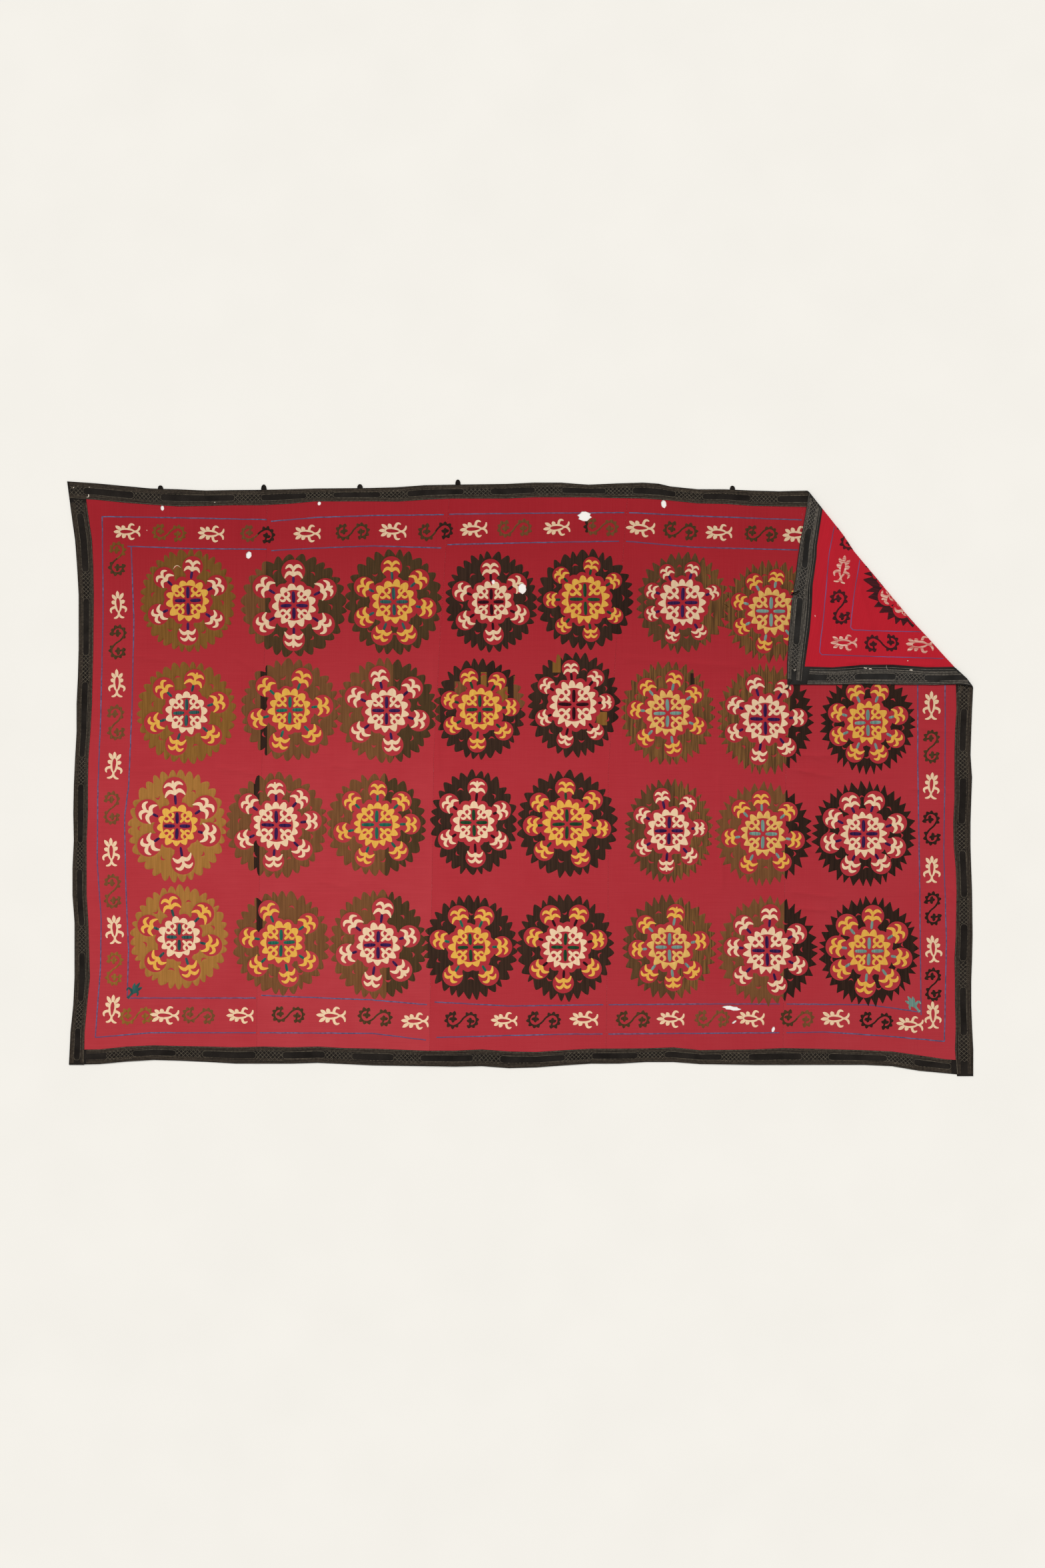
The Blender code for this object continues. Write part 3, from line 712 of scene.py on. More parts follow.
# ---------------------------------------------------------------- colours and materials
def linear(hex_colour):
    """An sRGB hex colour as linear red, green, blue and alpha."""
    parts = [int(hex_colour[i:i + 2], 16) / 255 for i in (1, 3, 5)]
    return (*[c / 12.92 if c <= 0.04045 else ((c + 0.055) / 1.055) ** 2.4 for c in parts], 1.0)


def add(tree, kind, links=(), values=(), **settings):
    """A shader node with its settings, the values of its sockets and the links into it."""
    node = tree.nodes.new(kind)
    for name, value in settings.items():
        setattr(node, name, value)
    for socket, value in dict(values).items():
        node.inputs[socket].default_value = value
    for socket, source in dict(links).items():
        tree.links.new(source, node.inputs[socket])
    return node


def new_material(name, roughness, gloss):
    made = bpy.data.materials.new(name)
    made.use_nodes = True
    shader = made.node_tree.nodes["Principled BSDF"]
    shader.inputs["Roughness"].default_value = roughness
    shader.inputs["Specular IOR Level"].default_value = gloss
    return made, made.node_tree, shader


def streaks(tree, along, across, detail=2.0, offset=0.0):
    """Noise drawn out along the cut's Y; the two lengths are in millimetres."""
    cut = add(tree, "ShaderNodeUVMap", uv_map="cut")
    stretch = add(
        tree, "ShaderNodeMapping", {"Vector": cut.outputs["UV"]},
        {"Scale": (1 / (across * MM), 1 / (along * MM), 1), "Location": (offset, offset, 0)},
    )
    return add(
        tree, "ShaderNodeTexNoise", {"Vector": stretch.outputs["Vector"]},
        {"Scale": 1.0, "Detail": detail, "Roughness": 0.55},
    ).outputs["Fac"]


def spread(tree, value, low, high, to_low=0.0, to_high=1.0):
    return add(
        tree, "ShaderNodeMapRange", {"Value": value},
        {"From Min": low, "From Max": high, "To Min": to_low, "To Max": to_high},
    ).outputs["Result"]


def mixed(tree, share, first, second, how="MIX"):
    """Two colours mixed; each is a linked socket or a colour."""
    node = add(tree, "ShaderNodeMix", data_type="RGBA", blend_type=how)
    for socket, value in ((node.inputs[0], share), (node.inputs[6], first), (node.inputs[7], second)):
        if isinstance(value, bpy.types.NodeSocket):
            tree.links.new(value, socket)
        else:
            socket.default_value = value
    return node.outputs[2]


def relief(tree, shader, height, distance, strength=1.0):
    bump = add(
        tree, "ShaderNodeBump", {"Height": height}, {"Distance": distance * MM, "Strength": strength},
    )
    tree.links.new(bump.outputs["Normal"], shader.inputs["Normal"])


def painted_light_falloff(tree, colour, dark):
    """Painted light and shade: colours are made darker towards the top edge and towards the right, so that
    the lower left looks more lit.
    """
    place = add(tree, "ShaderNodeTexCoord").outputs["Object"]
    up = add(tree, "ShaderNodeSeparateXYZ", {"Vector": place}).outputs["Y"]
    colour = mixed(tree, spread(tree, up, -0.1, 0.9), colour, (dark, dark, dark, 1), "MULTIPLY")
    across = add(tree, "ShaderNodeSeparateXYZ", {"Vector": place}).outputs["X"]
    return mixed(tree, spread(tree, across, 0.0, 1.5), colour, (0.88, 0.88, 0.88, 1), "MULTIPLY")


def red_cotton():
    """Handwoven cotton, dyed red: dull, with slubs along both threads, a paler or deeper tone on each loom
    width, and painted light: lighter towards the left and the bottom, darker towards the top.
    """
    made, tree, shader = new_material("handwoven_red_cotton", 0.95, 0.05)
    place = add(tree, "ShaderNodeTexCoord").outputs["Object"]
    axes = add(tree, "ShaderNodeSeparateXYZ", {"Vector": place})
    # Painted light: the red is lighter towards the left and darker towards the top.
    high = spread(tree, axes.outputs["Y"], -0.05, 0.95)
    sideways = spread(tree, axes.outputs["X"], -0.3, 0.9)
    pale = mixed(tree, sideways, linear("#B5333B"), linear("#A62C35"))
    face = mixed(tree, high, pale, linear("#941E26"))
    # Each loom width's own paler, pinker tone. It is mixed in more strongly towards the bottom, and that
    # part is painted light.
    width_paleness = add(tree, "ShaderNodeAttribute", attribute_name="width_paleness", attribute_type="GEOMETRY").outputs["Fac"]
    own = mixed(tree, width_paleness, linear("#98202A"), linear("#C4585C"))
    face = mixed(tree, spread(tree, axes.outputs["Y"], 0.9, -0.9, 0.04, 0.4), face, own)
    blotch = add(
        tree, "ShaderNodeTexNoise", {"Vector": place}, {"Scale": 5.0, "Detail": 3.0, "Roughness": 0.6},
    ).outputs["Fac"]
    face = mixed(tree, spread(tree, blotch, 0.3, 0.7, 0.0, 0.35), face, linear("#A5252E"))
    weft = streaks(tree, along=3.2, across=170.0)
    warp = streaks(tree, along=220.0, across=3.4, offset=7.0)
    face = mixed(tree, spread(tree, weft, 0.35, 0.65, 0.0, 0.12), face, linear("#861822"))
    face = mixed(tree, spread(tree, warp, 0.35, 0.65, 0.0, 0.05), face, linear("#C2474B"))
    back = mixed(tree, spread(tree, weft, 0.35, 0.65, 0.0, 0.3), linear("#B4202D"), linear("#9E1A26"))
    side = add(tree, "ShaderNodeAttribute", attribute_name="underside", attribute_type="GEOMETRY")
    tree.links.new(mixed(tree, side.outputs["Fac"], face, back), shader.inputs["Base Color"])
    pucker = streaks(tree, along=9.0, across=60.0, detail=3.0, offset=3.0)
    relief(tree, shader, pucker, 0.9, 0.5)
    return made


def silk(name, first, second, pitch, dark=0.8, strength=1.0):
    """Laid silk thread: a soft gloss, and streaks along the stitches where the skeins differ."""
    made, tree, shader = new_material(f"laid_silk_{name}", 0.7, 0.06)
    skein = streaks(tree, along=140.0, across=pitch, detail=1.5)
    colour = mixed(
        tree, spread(tree, skein, 0.5 - 0.16 / strength, 0.5 + 0.16 / strength),
        linear(first), linear(second),
    )
    stitch = streaks(tree, along=26.0, across=2.4, detail=2.0, offset=11.0)
    colour = mixed(tree, spread(tree, stitch, 0.3, 0.7, 0.0, 0.22), colour, linear(second))
    # Painted light: the thread is made darker towards the top edge and towards the right.
    tree.links.new(painted_light_falloff(tree, colour, dark), shader.inputs["Base Color"])
    relief(tree, shader, stitch, 0.35, 0.6)
    return made


def black_velvet():
    """Black cotton tape with a short nap: very dull, greyer where it is rubbed."""
    made, tree, shader = new_material("black_napped_tape", 0.95, 0.08)
    rubbed = streaks(tree, along=70.0, across=70.0, detail=4.0)
    nap = streaks(tree, along=3.0, across=3.0, detail=2.0, offset=5.0)
    colour = mixed(tree, spread(tree, rubbed, 0.35, 0.7), linear("#1A1613"), linear("#2A2521"))
    colour = mixed(tree, spread(tree, nap, 0.3, 0.7, 0.0, 0.4), colour, linear("#100D0B"))
    side = add(tree, "ShaderNodeAttribute", attribute_name="underside", attribute_type="GEOMETRY")
    back = mixed(tree, spread(tree, rubbed, 0.35, 0.7), linear("#1F1D1B"), linear("#2C2A28"))
    tree.links.new(mixed(tree, side.outputs["Fac"], colour, back), shader.inputs["Base Color"])
    shader.inputs["Sheen Weight"].default_value = 0.06
    relief(tree, shader, nap, 0.4, 0.5)
    return made


def band_thread(name, first, second):
    """Undyed cotton thread, gone grey-brown, chain stitched on the black."""
    made, tree, shader = new_material(name, 0.85, 0.15)
    worn = streaks(tree, along=9.0, across=9.0, detail=2.0)
    colour = mixed(tree, spread(tree, worn, 0.35, 0.65), linear(first), linear(second))
    tree.links.new(colour, shader.inputs["Base Color"])
    return made


def couched_blue(name, first, second, purple):
    """A cord of blue silk with purple laid beside it, held down by small stitches."""
    made, tree, shader = new_material(name, 0.6, 0.2)
    twist = streaks(tree, along=14.0, across=14.0, detail=1.0)
    patch = streaks(tree, along=160.0, across=160.0, detail=1.0, offset=4.0)
    blue = mixed(tree, spread(tree, twist, 0.4, 0.6), linear(first), linear(second))
    colour = mixed(tree, spread(tree, patch, 0.42, 0.62, 0.0, purple), blue, linear("#6B3D5E"))
    # Painted light: the cord is made darker towards the top edge and towards the right.
    tree.links.new(painted_light_falloff(tree, colour, 0.85), shader.inputs["Base Color"])
    return made


def plain_floor():
    """Pale matt board."""
    made, tree, shader = new_material("pale_matt_board", 0.9, 0.1)
    place = add(tree, "ShaderNodeTexCoord").outputs["Object"]
    grain = add(tree, "ShaderNodeTexNoise", {"Vector": place}, {"Scale": 3.0, "Detail": 2.0}).outputs["Fac"]
    colour = mixed(tree, spread(tree, grain, 0.3, 0.7), linear("#F4F1EA"), linear("#F2EFE8"))
    tree.links.new(colour, shader.inputs["Base Color"])
    return made


# Thread colours: the main one, the one it is streaked with, the streaks' width in millimetres, how much
# painted shade darkens it at the top edge, and how sharply the streaks show
SKEINS = {
    "gold_olive": ("#AC763A", "#95672F", 7, 0.85, 0.7),
    "light_olive": ("#94662E", "#7C5424", 7, 0.60, 0.8),
    "streaked_olive": ("#82592F", "#553A22", 4.5, 0.8, 1.5),
    "olive": ("#7C5230", "#684327", 6, 0.78, 0.9),
    "umber": ("#63462A", "#503621", 6, 0.85, 1.0),
    "dark_olive": ("#533C24", "#40301C", 5, 0.85, 1.0),
    "brown_black": ("#3E2B20", "#2E2018", 6, 0.85, 0.9),
    "black": ("#36241B", "#251913", 6, 0.9, 0.8),
    "yellow": ("#EAB653", "#DAA342", 7, 0.82, 0.6),
    "straw": ("#E4B869", "#D6A656", 7, 0.86, 0.6),
    "cream": ("#F0D2AE", "#E4C29B", 7, 0.82, 0.6),
    "purple": ("#3B2050", "#2A1338", 6, 1.0, 1.5),
    "maroon": ("#321018", "#240A10", 6, 1.0, 1.0),
    "green": ("#234A2E", "#173720", 6, 1.0, 1.0),
    "teal": ("#33605A", "#24403F", 6, 1.0, 1.2),
    "green_teal": ("#27705A", "#1C5443", 6, 1.0, 1.0),
    "grey_teal": ("#7F9C90", "#5F8076", 6, 1.0, 1.2),
}
THREADS = {name: silk(name, *values) for name, values in SKEINS.items()}
THREADS["blue"] = couched_blue("couched_blue_silk", "#4B4766", "#666084", 0.85)
THREADS["back_blue"] = couched_blue("couched_silk_reverse", "#6B5A86", "#84508A", 0.9)
THREADS["back_cream"] = silk("cream_reverse", "#E8C4AE", "#C26A60", 4.5, 1.0, 1.8)
THREADS["back_black"] = silk("black_reverse", "#301A1C", "#4A1C20", 4.5, 1.0, 1.2)
PROUD = {"yellow": 0.6, "cream": 0.6, "blue": 0.5, "purple": 0.5, "maroon": 0.5, "green": 0.5}
COTTON, VELVET = red_cotton(), black_velvet()
EDGE_CHAIN = band_thread("grey_brown_chain_stitch", "#433A30", "#2E2720")
FRAME_CHAIN = band_thread("thin_grey_chain_stitch", "#6A6152", "#453E34")
BACK_CHAIN = band_thread("grey_stitches_of_the_reverse", "#716A60", "#4F4942")

# ---------------------------------------------------------------- what is stitched, by thread and panel
def crease_lines(creases):
    """Lines along the soft creases, so that each mesh can follow them."""
    lines = []
    for crease in creases:
        start, end = np.array(spot(crease.x0, crease.y0)), np.array(spot(crease.x1, crease.y1))
        run = (end - start) / np.hypot(*(end - start))
        side = np.array((-run[1], run[0])) * crease.wide
        for shift in (-1.1, -0.5, 0, 0.5, 1.1):
            ends = [start - run * crease.wide + shift * side, end + run * crease.wide + shift * side]
            lines.append(spaced(ends, GRID))
    return lines


def near_lines(lines, shapes):
    """The lines that come near any of the shapes."""
    low, high = np.vstack(shapes).min(0), np.vstack(shapes).max(0)
    return [line for line in lines if (line.max(0) > low).all() and (line.min(0) < high).all()]


CREASE_LINES = crease_lines(CREASES) + [unfolded(line) for line in crease_lines(FLAP_CREASES)]
HOLE_RIMS = [hole_rim(index, hole) for index, hole in enumerate(HOLES)]
SEAM_LINES = [np.array([(row.across, row.up) for row in seam], float) for seam in SEAMS]
worked = {}  # (thread, panel or "back"): pieces of flat triangles


def near_side():
    """All of the flat cloth up to the crest of the fold."""
    along = np.linspace(-200, FOLD_LENGTH + 200, 60)
    past = read_off(FOLD_BOW, along, "out") + 3
    crest = FOLD_START + along[:, None] * FOLD_ALONG + past[:, None] * FOLD_OUT
    return np.vstack((crest, [crest[-1] - 900 * FOLD_OUT, crest[0] - 900 * FOLD_OUT]))


NEAR_SIDE = near_side()


def stitch(thread, plus, minus=(), cuts=(), over=(), back=False):
    """Works a patch on the cloth. The thread is a name, or a function from places to names."""
    low, high = np.vstack([*plus, *over]).min(0), np.vstack([*plus, *over]).max(0)
    gone = [rim for rim in HOLE_RIMS if (np.max(rim, 0) > low).all() and (np.min(rim, 0) < high).all()]
    if back:
        gone = [NEAR_SIDE]
    seams = []
    for line in SEAM_LINES:
        at_ends = np.interp((low[1], high[1]), line[:, 1], line[:, 0])
        if at_ends.max() > low[0] and at_ends.min() < high[0]:
            line = spaced(line, GRID)
            seams.append(line[(line[:, 1] > low[1] - 30) & (line[:, 1] < high[1] + 30)])
    creases = near_lines(CREASE_LINES, [*plus, *over])
    points, faces = fill(plus, minus, [*cuts, *seams, *creases], over, gone)
    if not len(faces):
        return
    middles = points[faces].mean(axis=1)
    panels = panel_at(middles)
    names = thread(middles) if callable(thread) else np.full(len(faces), thread)
    for name in np.unique(names):
        for panel in np.unique(panels):
            part = faces[(names == name) & (panels == panel)]
            if len(part):
                worked.setdefault((name, "back" if back else int(panel)), []).append((points, part))


# A tooth's outline across its pitch: how far along the pitch, and how far out for a blunt and a sharp one
Tooth = namedtuple("Tooth", "across blunt sharp_across sharp")
TOOTH = [
    Tooth(-1.0, 0.0, -1.0, 0.0), Tooth(-0.9, 0.34, -0.62, 0.36), Tooth(-0.62, 0.74, -0.3, 0.74),
    Tooth(-0.15, 0.99, -0.05, 1.0), Tooth(0.3, 0.95, 0.1, 0.97), Tooth(0.65, 0.68, 0.4, 0.62),
    Tooth(0.9, 0.32, 0.7, 0.28),
]


def uneven_pitches(count, turn, jitter, rng):
    """The start and end angles of each of the teeth round a circle."""
    edges = [turn + 2 * math.pi * (k + rng.uniform(-jitter, jitter)) / count for k in range(count)]
    return list(zip(edges, [*edges[1:], edges[0] + 2 * math.pi]))


def toothed_outline(rosette, rng):
    """The ring's outer edge: leaf-like teeth on the left of the cloth, sharper towards the right.

    The stitches run up and down, so the teeth at the top and bottom are the longer ones.
    """
    half = np.array((rosette.wide, rosette.high)) / 2 * PIXEL
    deep = 19 + 7 * rosette.sharp
    outline = []
    for start, end in uneven_pitches(rosette.teeth, 0, 0.2, rng):
        middle = (start + end) / 2
        reach = deep * (0.82 + 0.42 * abs(math.sin(middle))) * rng.uniform(0.86, 1.12)
        lean = rng.uniform(-0.4, 0.4)
        upright = 1 - 0.6 * rosette.sharp * abs(math.sin(middle))
        out = np.array((math.cos(middle) * upright, math.sin(middle)))
        out /= np.hypot(*out)
        root = half - deep * np.array((0.9, 1.15))
        for row in TOOTH:
            across = row.across + rosette.sharp * (row.sharp_across - row.across)
            high = row.blunt + rosette.sharp * (row.sharp - row.blunt)
            angle = middle + (across + lean * high) * (end - start) / 2
            outline.append(root * (math.cos(angle), math.sin(angle)) + out * high * reach)
    return np.array(outline)


def sun_outline(reach, petals, turn, pointed, rng):
    """Petals round a disc: the blunter ones are at its top."""
    outline = []
    for start, end in uneven_pitches(petals, turn - math.pi / petals, 0.08, rng):
        middle = (start + end) / 2
        sharp = 0.3 + 0.45 * pointed - 0.28 * math.sin(middle)
        tip = reach * rng.uniform(0.95, 1.06)
        valley = reach * 0.79
        for row in TOOTH:
            across = row.across + sharp * (row.sharp_across - row.across)
            high = row.blunt + sharp * (row.sharp - row.blunt)
            angle = middle + across * (end - start) / 2
            radius = valley + (tip - valley) * high
            outline.append((radius * math.cos(angle), radius * math.sin(angle)))
    return np.array(outline)


def halo_outline(reach, petals, turn):
    """The bare cotton round the sun, scalloped like it."""
    angle = np.linspace(0, 2 * math.pi, 8 * petals, endpoint=False)
    radius = reach + 5 + 8 * np.abs(np.cos(petals * (angle - turn) / 2))
    return np.column_stack((radius * np.cos(angle), radius * np.sin(angle)))


def niche_outline(radius, middle, neck, rng):
    """A round bare place with a neck towards the sun, along the X axis."""
    opening = math.radians(36)
    angle = np.linspace(-math.pi + opening, math.pi - opening, 20)
    wide = radius * rng.uniform(0.95, 1.04)
    rim = np.column_stack((middle + radius * np.cos(angle), wide * np.sin(angle)))
    return np.vstack((rim, [(neck, 0.42 * radius), (neck, -0.42 * radius)]))


def crescent(wide, deep, bend):
    """A thin moon across the X axis, hollow towards the centre."""
    outer = curve((0, -wide / 2), (bend + deep, 0), (0, wide / 2), 7)
    inner = curve((0, wide / 2), (bend - deep, 0), (0, -wide / 2), 7)[1:-1]
    return np.vstack((outer, inner))


def bar(start, end, wide, blunt=0.45):
    """A stroke with rounded ends, a little wider at its middle."""
    share = np.array((0, 0.1, 0.3, 0.5, 0.7, 0.9, 1))
    width = wide * np.array((blunt, 0.78, 0.96, 1, 0.96, 0.78, blunt))
    start, end = np.array(start, float), np.array(end, float)
    return ribbon(start + share[:, None] * (end - start), width)


def horn_pair(rng):
    """In a sun of 60 mm, along the X axis: a stem, its neck to the sun and a curled horn on each side."""
    shapes = [
        bar((19, 0), (46, 0), 11.5, 0.5),
        ribbon([(42, 0), (50, 0), (56, 0), (64, 0)], [10, 7.5, 10, 24]),
    ]
    for side in (1, -1):
        turned = arc((49.5, side * 10.6), 9.6, side * 222, side * rng.uniform(40, 58), 12)
        shapes.append(ribbon(turned, np.interp(range(12), (0, 3, 8, 11), (8, 10.5, 9.5, 3.5))))
    return [moved(shape, (0, 0), rng.uniform(-3, 3)) for shape in shapes]


def sprig(rng, arms=4):
    """A palm-like sprig: two pairs of arms that droop back, along the X axis."""
    shapes = [ribbon([(-3, 0), (6, 0), (14, rng.uniform(-1, 1)), (26, 0)], [7, 10, 9, 9])]
    for side in (1, -1):
        droop, spread_out = rng.uniform(-4, 3), rng.uniform(0.92, 1.06)
        low = curve((0, 0), (24, side * 17), (-7 + droop, side * 32 * spread_out), 8)
        shapes.append(ribbon(low, [7, 11, 13, 13.5, 13, 11, 8, 3.5]))
        high = curve((20, 0), (47, side * 12), (26 + droop, side * 30 * spread_out), 8)
        shapes.append(ribbon(high, [7, 10.5, 12, 12.5, 12, 10, 7.5, 3.5]))
    if arms == 5:
        shapes.append(bar((20, 0), (45, 0), 9))
    return shapes


def unit(degrees):
    return np.array((math.cos(math.radians(degrees)), math.sin(math.radians(degrees))))


def rosette_shapes(rosette, rng):
    """One rosette's flat shapes round (0, 0): the ring, what it leaves bare, and its other threads."""
    half = np.array((rosette.wide, rosette.high)) / 2 * PIXEL
    tip = rosette.sun * PIXEL
    petals = 13 if rosette.sun < 33.3 else 16
    turn = rng.uniform(0, 2 * math.pi)
    outer = toothed_outline(rosette, rng)
    root = half.mean() - 21 - 7 * rosette.sharp
    radius = (root - tip - 8) / 2 * 1.03
    middle = tip + 5 + radius
    bare = [halo_outline(tip, petals, turn)]
    sprigs, stems = [], []
    for angle in rosette.niches:
        push = (np.hypot(*(half * unit(angle))) - half.mean()) * 0.7
        out = middle + push
        bare.append(moved(niche_outline(radius, out, tip * 0.92, rng), (0, 0), angle))
        foot = out - 0.42 * radius
        lean, flip = angle + rng.uniform(-7, 7), rng.choice((1, -1))
        for shape in sprig(rng, 5 if rng.random() < 0.1 else 4):
            sprigs.append(moved(shape, unit(angle) * foot, lean, radius / 40, flip))
        stems.append(moved(bar((tip + 1, 0), (foot - 1, 0), 10.5), (0, 0), angle))
    ordered = sorted(rosette.niches)
    for angle, following in zip(ordered, [*ordered[1:], ordered[0] + 360]):
        if following - angle > 30:
            wide, deep = rng.uniform(20, 28), rng.uniform(6, 8)
            moon = crescent(wide, deep, rng.uniform(14, 20) * rng.choice((1, 1, 1, -1)))
            reach = middle + rng.uniform(-2, 10)
            moon = moved(moon, (reach, 0), rng.uniform(-30, 30))
            bare.append(moved(moon, (0, 0), (angle + following) / 2))
    hollow = 0.7 * tip
    horns = [moved(shape, (0, 0), 45 + turned, hollow / 60)
             for turned in (0, 90, 180, 270) for shape in horn_pair(rng)]
    cross = [
        moved(
            bar((9, 0), (hollow * rng.uniform(0.86, 0.94), 0), 14, 0.4), (0, 0), turned + rng.uniform(-3, 3),
        )
        for turned in (0, 90, 180, 270)
    ]
    sun = sun_outline(tip, petals, turn, rosette.sharp, rng)
    return outer, bare, sun, round_shape(hollow, 40), horns, cross, sprigs, stems


def with_mends(names, places):
    """The threads' names with those of the mended parts put in."""
    x, y = places.T
    for mend in MENDS:
        (left, top), (right, bottom) = spot(mend.left, mend.top), spot(mend.right, mend.bottom)
        names[(x > left) & (x < right) & (y > bottom) & (y < top)] = mend.thread
    return names


def ring_thread(rosette):
    """The ring's thread at each place: one side of the seam or the other, or a mended part."""
    across, up = spot(rosette.x, rosette.y)

    def names_at(places):
        seam = min(SEAM_LINES, key=lambda line: abs(np.interp(up, line[:, 1], line[:, 0]) - across))
        names = np.full(len(places), rosette.ring, dtype="<U16")
        if rosette.right:
            names[places[:, 0] > np.interp(places[:, 1], seam[:, 1], seam[:, 0])] = rosette.right
        return with_mends(names, places)
    return names_at


def mend_edges(low, high):
    """The outlines of the mended parts near a rosette, as cuts."""
    cuts = []
    for mend in MENDS:
        (left, top), (right, bottom) = spot(mend.left, mend.top), spot(mend.right, mend.bottom)
        if left < high[0] and right > low[0] and bottom < high[1] and top > low[1]:
            cuts.append([(left, bottom), (right, bottom), (right, top), (left, top), (left, bottom)])
    return cuts


def work_rosette(number, rosette, back=False):
    rng = random.Random(100 + number)
    centre = spot(rosette.x, rosette.y)
    outer, bare, sun, hollow, horns, cross, sprigs, stems = rosette_shapes(rosette, rng)
    place = lambda shapes: [moved(shape, centre) for shape in shapes]
    outer = moved(outer, centre)
    mends = mend_edges(outer.min(0), outer.max(0))
    stitch(ring_thread(rosette), [outer], place(bare), mends, back=back)
    stitch(rosette.sprigs, place(sprigs), back=back)
    stitch(rosette.stems or rosette.cross, place(stems), back=back)
    if not back:
        stitch(rosette.sunny, [moved(sun, centre)], [moved(hollow, centre)], over=place(horns))
        stitch(rosette.cross, place(cross))


def palmette_shapes(rng):
    """A small plant along the X axis: a fan, a body with a slot, and two pairs of curled hooks."""
    shapes = [
        round_shape(31, 24, 0.46, (0, 0)), ribbon([(20, 0), (28, 0), (37, 0)], [18, 10, 8]),
        leaf((-20, 0), (-rng.uniform(50, 56), rng.uniform(-3, 3)), 13.5, 0.55),
    ]
    for side in (1, -1):
        long = rng.uniform(0.9, 1.12)
        shapes.append(leaf((-15, side * 4), (-42 * long, side * 22 * long), 13.5, 0.58))
        out = rng.uniform(24, 28)
        shapes.append(leaf((-4, side * 3), (-13 - rng.uniform(0, 6), side * out), 16, 0.62))
        near = curve((9, side * 7), (11, side * 39), (31, side * rng.uniform(23, 28)), 8)
        shapes.append(ribbon(near, [12, 10.5, 10, 10, 9.5, 8.5, 7, 3.5]))
        far = curve((33, 0), (52, side * 3), (51, side * rng.uniform(19, 24)), 8)
        shapes.append(ribbon(far, [7, 7.5, 8.5, 9, 9, 8.5, 7, 4]))
    slot = round_shape(25, 20, 0.27, (0, 0))
    slot[:, 1] *= 1 - 0.3 * slot[:, 0] / 25
    return shapes, [slot]


def scroll_ring(rng):
    """Half of a scroll: an open ring set with leaf-like teeth, a three-leaved sprig hanging in it from its
    top, its tail towards (34, 0)."""
    radius = 23.0
    tail = curve(unit(305) * radius, (27, -11), (34, 0), 6)
    turn = np.vstack((arc((0, 0), radius, 80, 305, 20), tail[1:]))
    shapes = [ribbon(turn, np.interp(range(25), (0, 3, 20, 24), (9, 7.5, 7, 6.5)))]
    tooth = np.array([(-9, -2), (-7.5, 4.5), (-4, 9.5), (0, 12), (4, 9.5), (7.5, 4.5), (9, -2)])
    for place in range(7):
        angle = 78 + 37 * place + rng.uniform(-4, 4)
        high = rng.uniform(0.85, 1.15)
        turned = moved(tooth * (rng.uniform(0.9, 1.05), high), (0, 0), angle - 90)
        shapes.append(turned + unit(angle) * radius)
    heart = np.array((rng.uniform(-1, 1), 6))
    shapes.append(ribbon([unit(80) * radius, (2, 15), heart], [9, 7, 9]))
    for direction, long in ((-160, 17), (-90, 17), (-20, 16)):
        lobe = leaf((-5, 0), (long, 0), 12.5, 0.6)
        shapes.append(moved(lobe, heart, direction + rng.uniform(-10, 10)))
    return shapes


def work_scroll(centre, turn, threads, flip, rng, back=False):
    """An S of two rings; the second is the first turned half round."""
    size = rng.uniform(0.96, 1.03)
    halves = []
    for half in (0, 180):
        ring = [moved(shape, (-34, 0)) for shape in scroll_ring(rng)]
        halves.append([moved(moved(shape, (0, 0), half), centre, turn, size, flip) for shape in ring])
    if back:
        halves = [[unfolded(shape) for shape in half] for half in halves]
    if len(threads) == 1:
        both = halves[0] + halves[1]
        mends = mend_edges(np.vstack(both).min(0), np.vstack(both).max(0))
        stitch(lambda at: with_mends(np.full(len(at), threads[0], "<U16"), at), both, (), mends, back=back)
    else:
        for thread, half in zip(threads, halves):
            stitch(thread, half, back=back)


def between_lines(side, along):
    """The middle of the border strip, and the direction of its lines, at a pixel along a side."""
    axis = 1 if side in ("left", "right") else 0
    across, slope = 0, 0
    for line in ("outer", "inner"):
        points = [point for run in BLUE_LINES[f"{side}_{line}"] for point in run]
        run = sorted(points, key=lambda point: point[axis])
        at, other = [point[axis] for point in run], [point[1 - axis] for point in run]
        before, here, after = np.interp((along - 20, along, along + 20), at, other)
        across += here / 2
        slope += (after - before) / 80
    if axis:
        return spot(across, along), -90 + math.degrees(math.atan(slope))
    return spot(along, across), -math.degrees(math.atan(slope))


def work_palmette(centre, turn, rng, back=False):
    shapes, slot = palmette_shapes(rng)
    size = rng.uniform(0.96, 1.06)
    shapes, slot = ([moved(shape, centre, turn, size) for shape in group] for group in (shapes, slot))
    if back:
        shapes, slot = ([unfolded(shape) for shape in group] for group in (shapes, slot))
    stitch("back_cream" if back else "cream", shapes, slot, back=back)


def work_border(side, motifs):
    rng = random.Random(f"border {side}")
    for along, *threads in motifs:
        centre, turn = between_lines(side, along)
        turn += rng.uniform(-5, 5)
        if threads:
            work_scroll(centre, turn, threads, -1 if side in ("left", "right") else 1, rng)
        else:
            work_palmette(centre, turn, rng)


def work_line(thread, points, wide, rng, back=False):
    """A couched line through points, in pieces of a hand's length."""
    line = spaced([spot(*point) for point in points], 14)
    if back:
        line = unfolded(line)
    line = line + np.array([(rng.uniform(-0.6, 0.6), rng.uniform(-0.6, 0.6)) for _ in line])
    for part in range(0, len(line) - 1, 24):
        piece = line[part:part + 25]
        if len(piece) > 2:
            stitch(thread, [ribbon(piece, wide)], back=back)


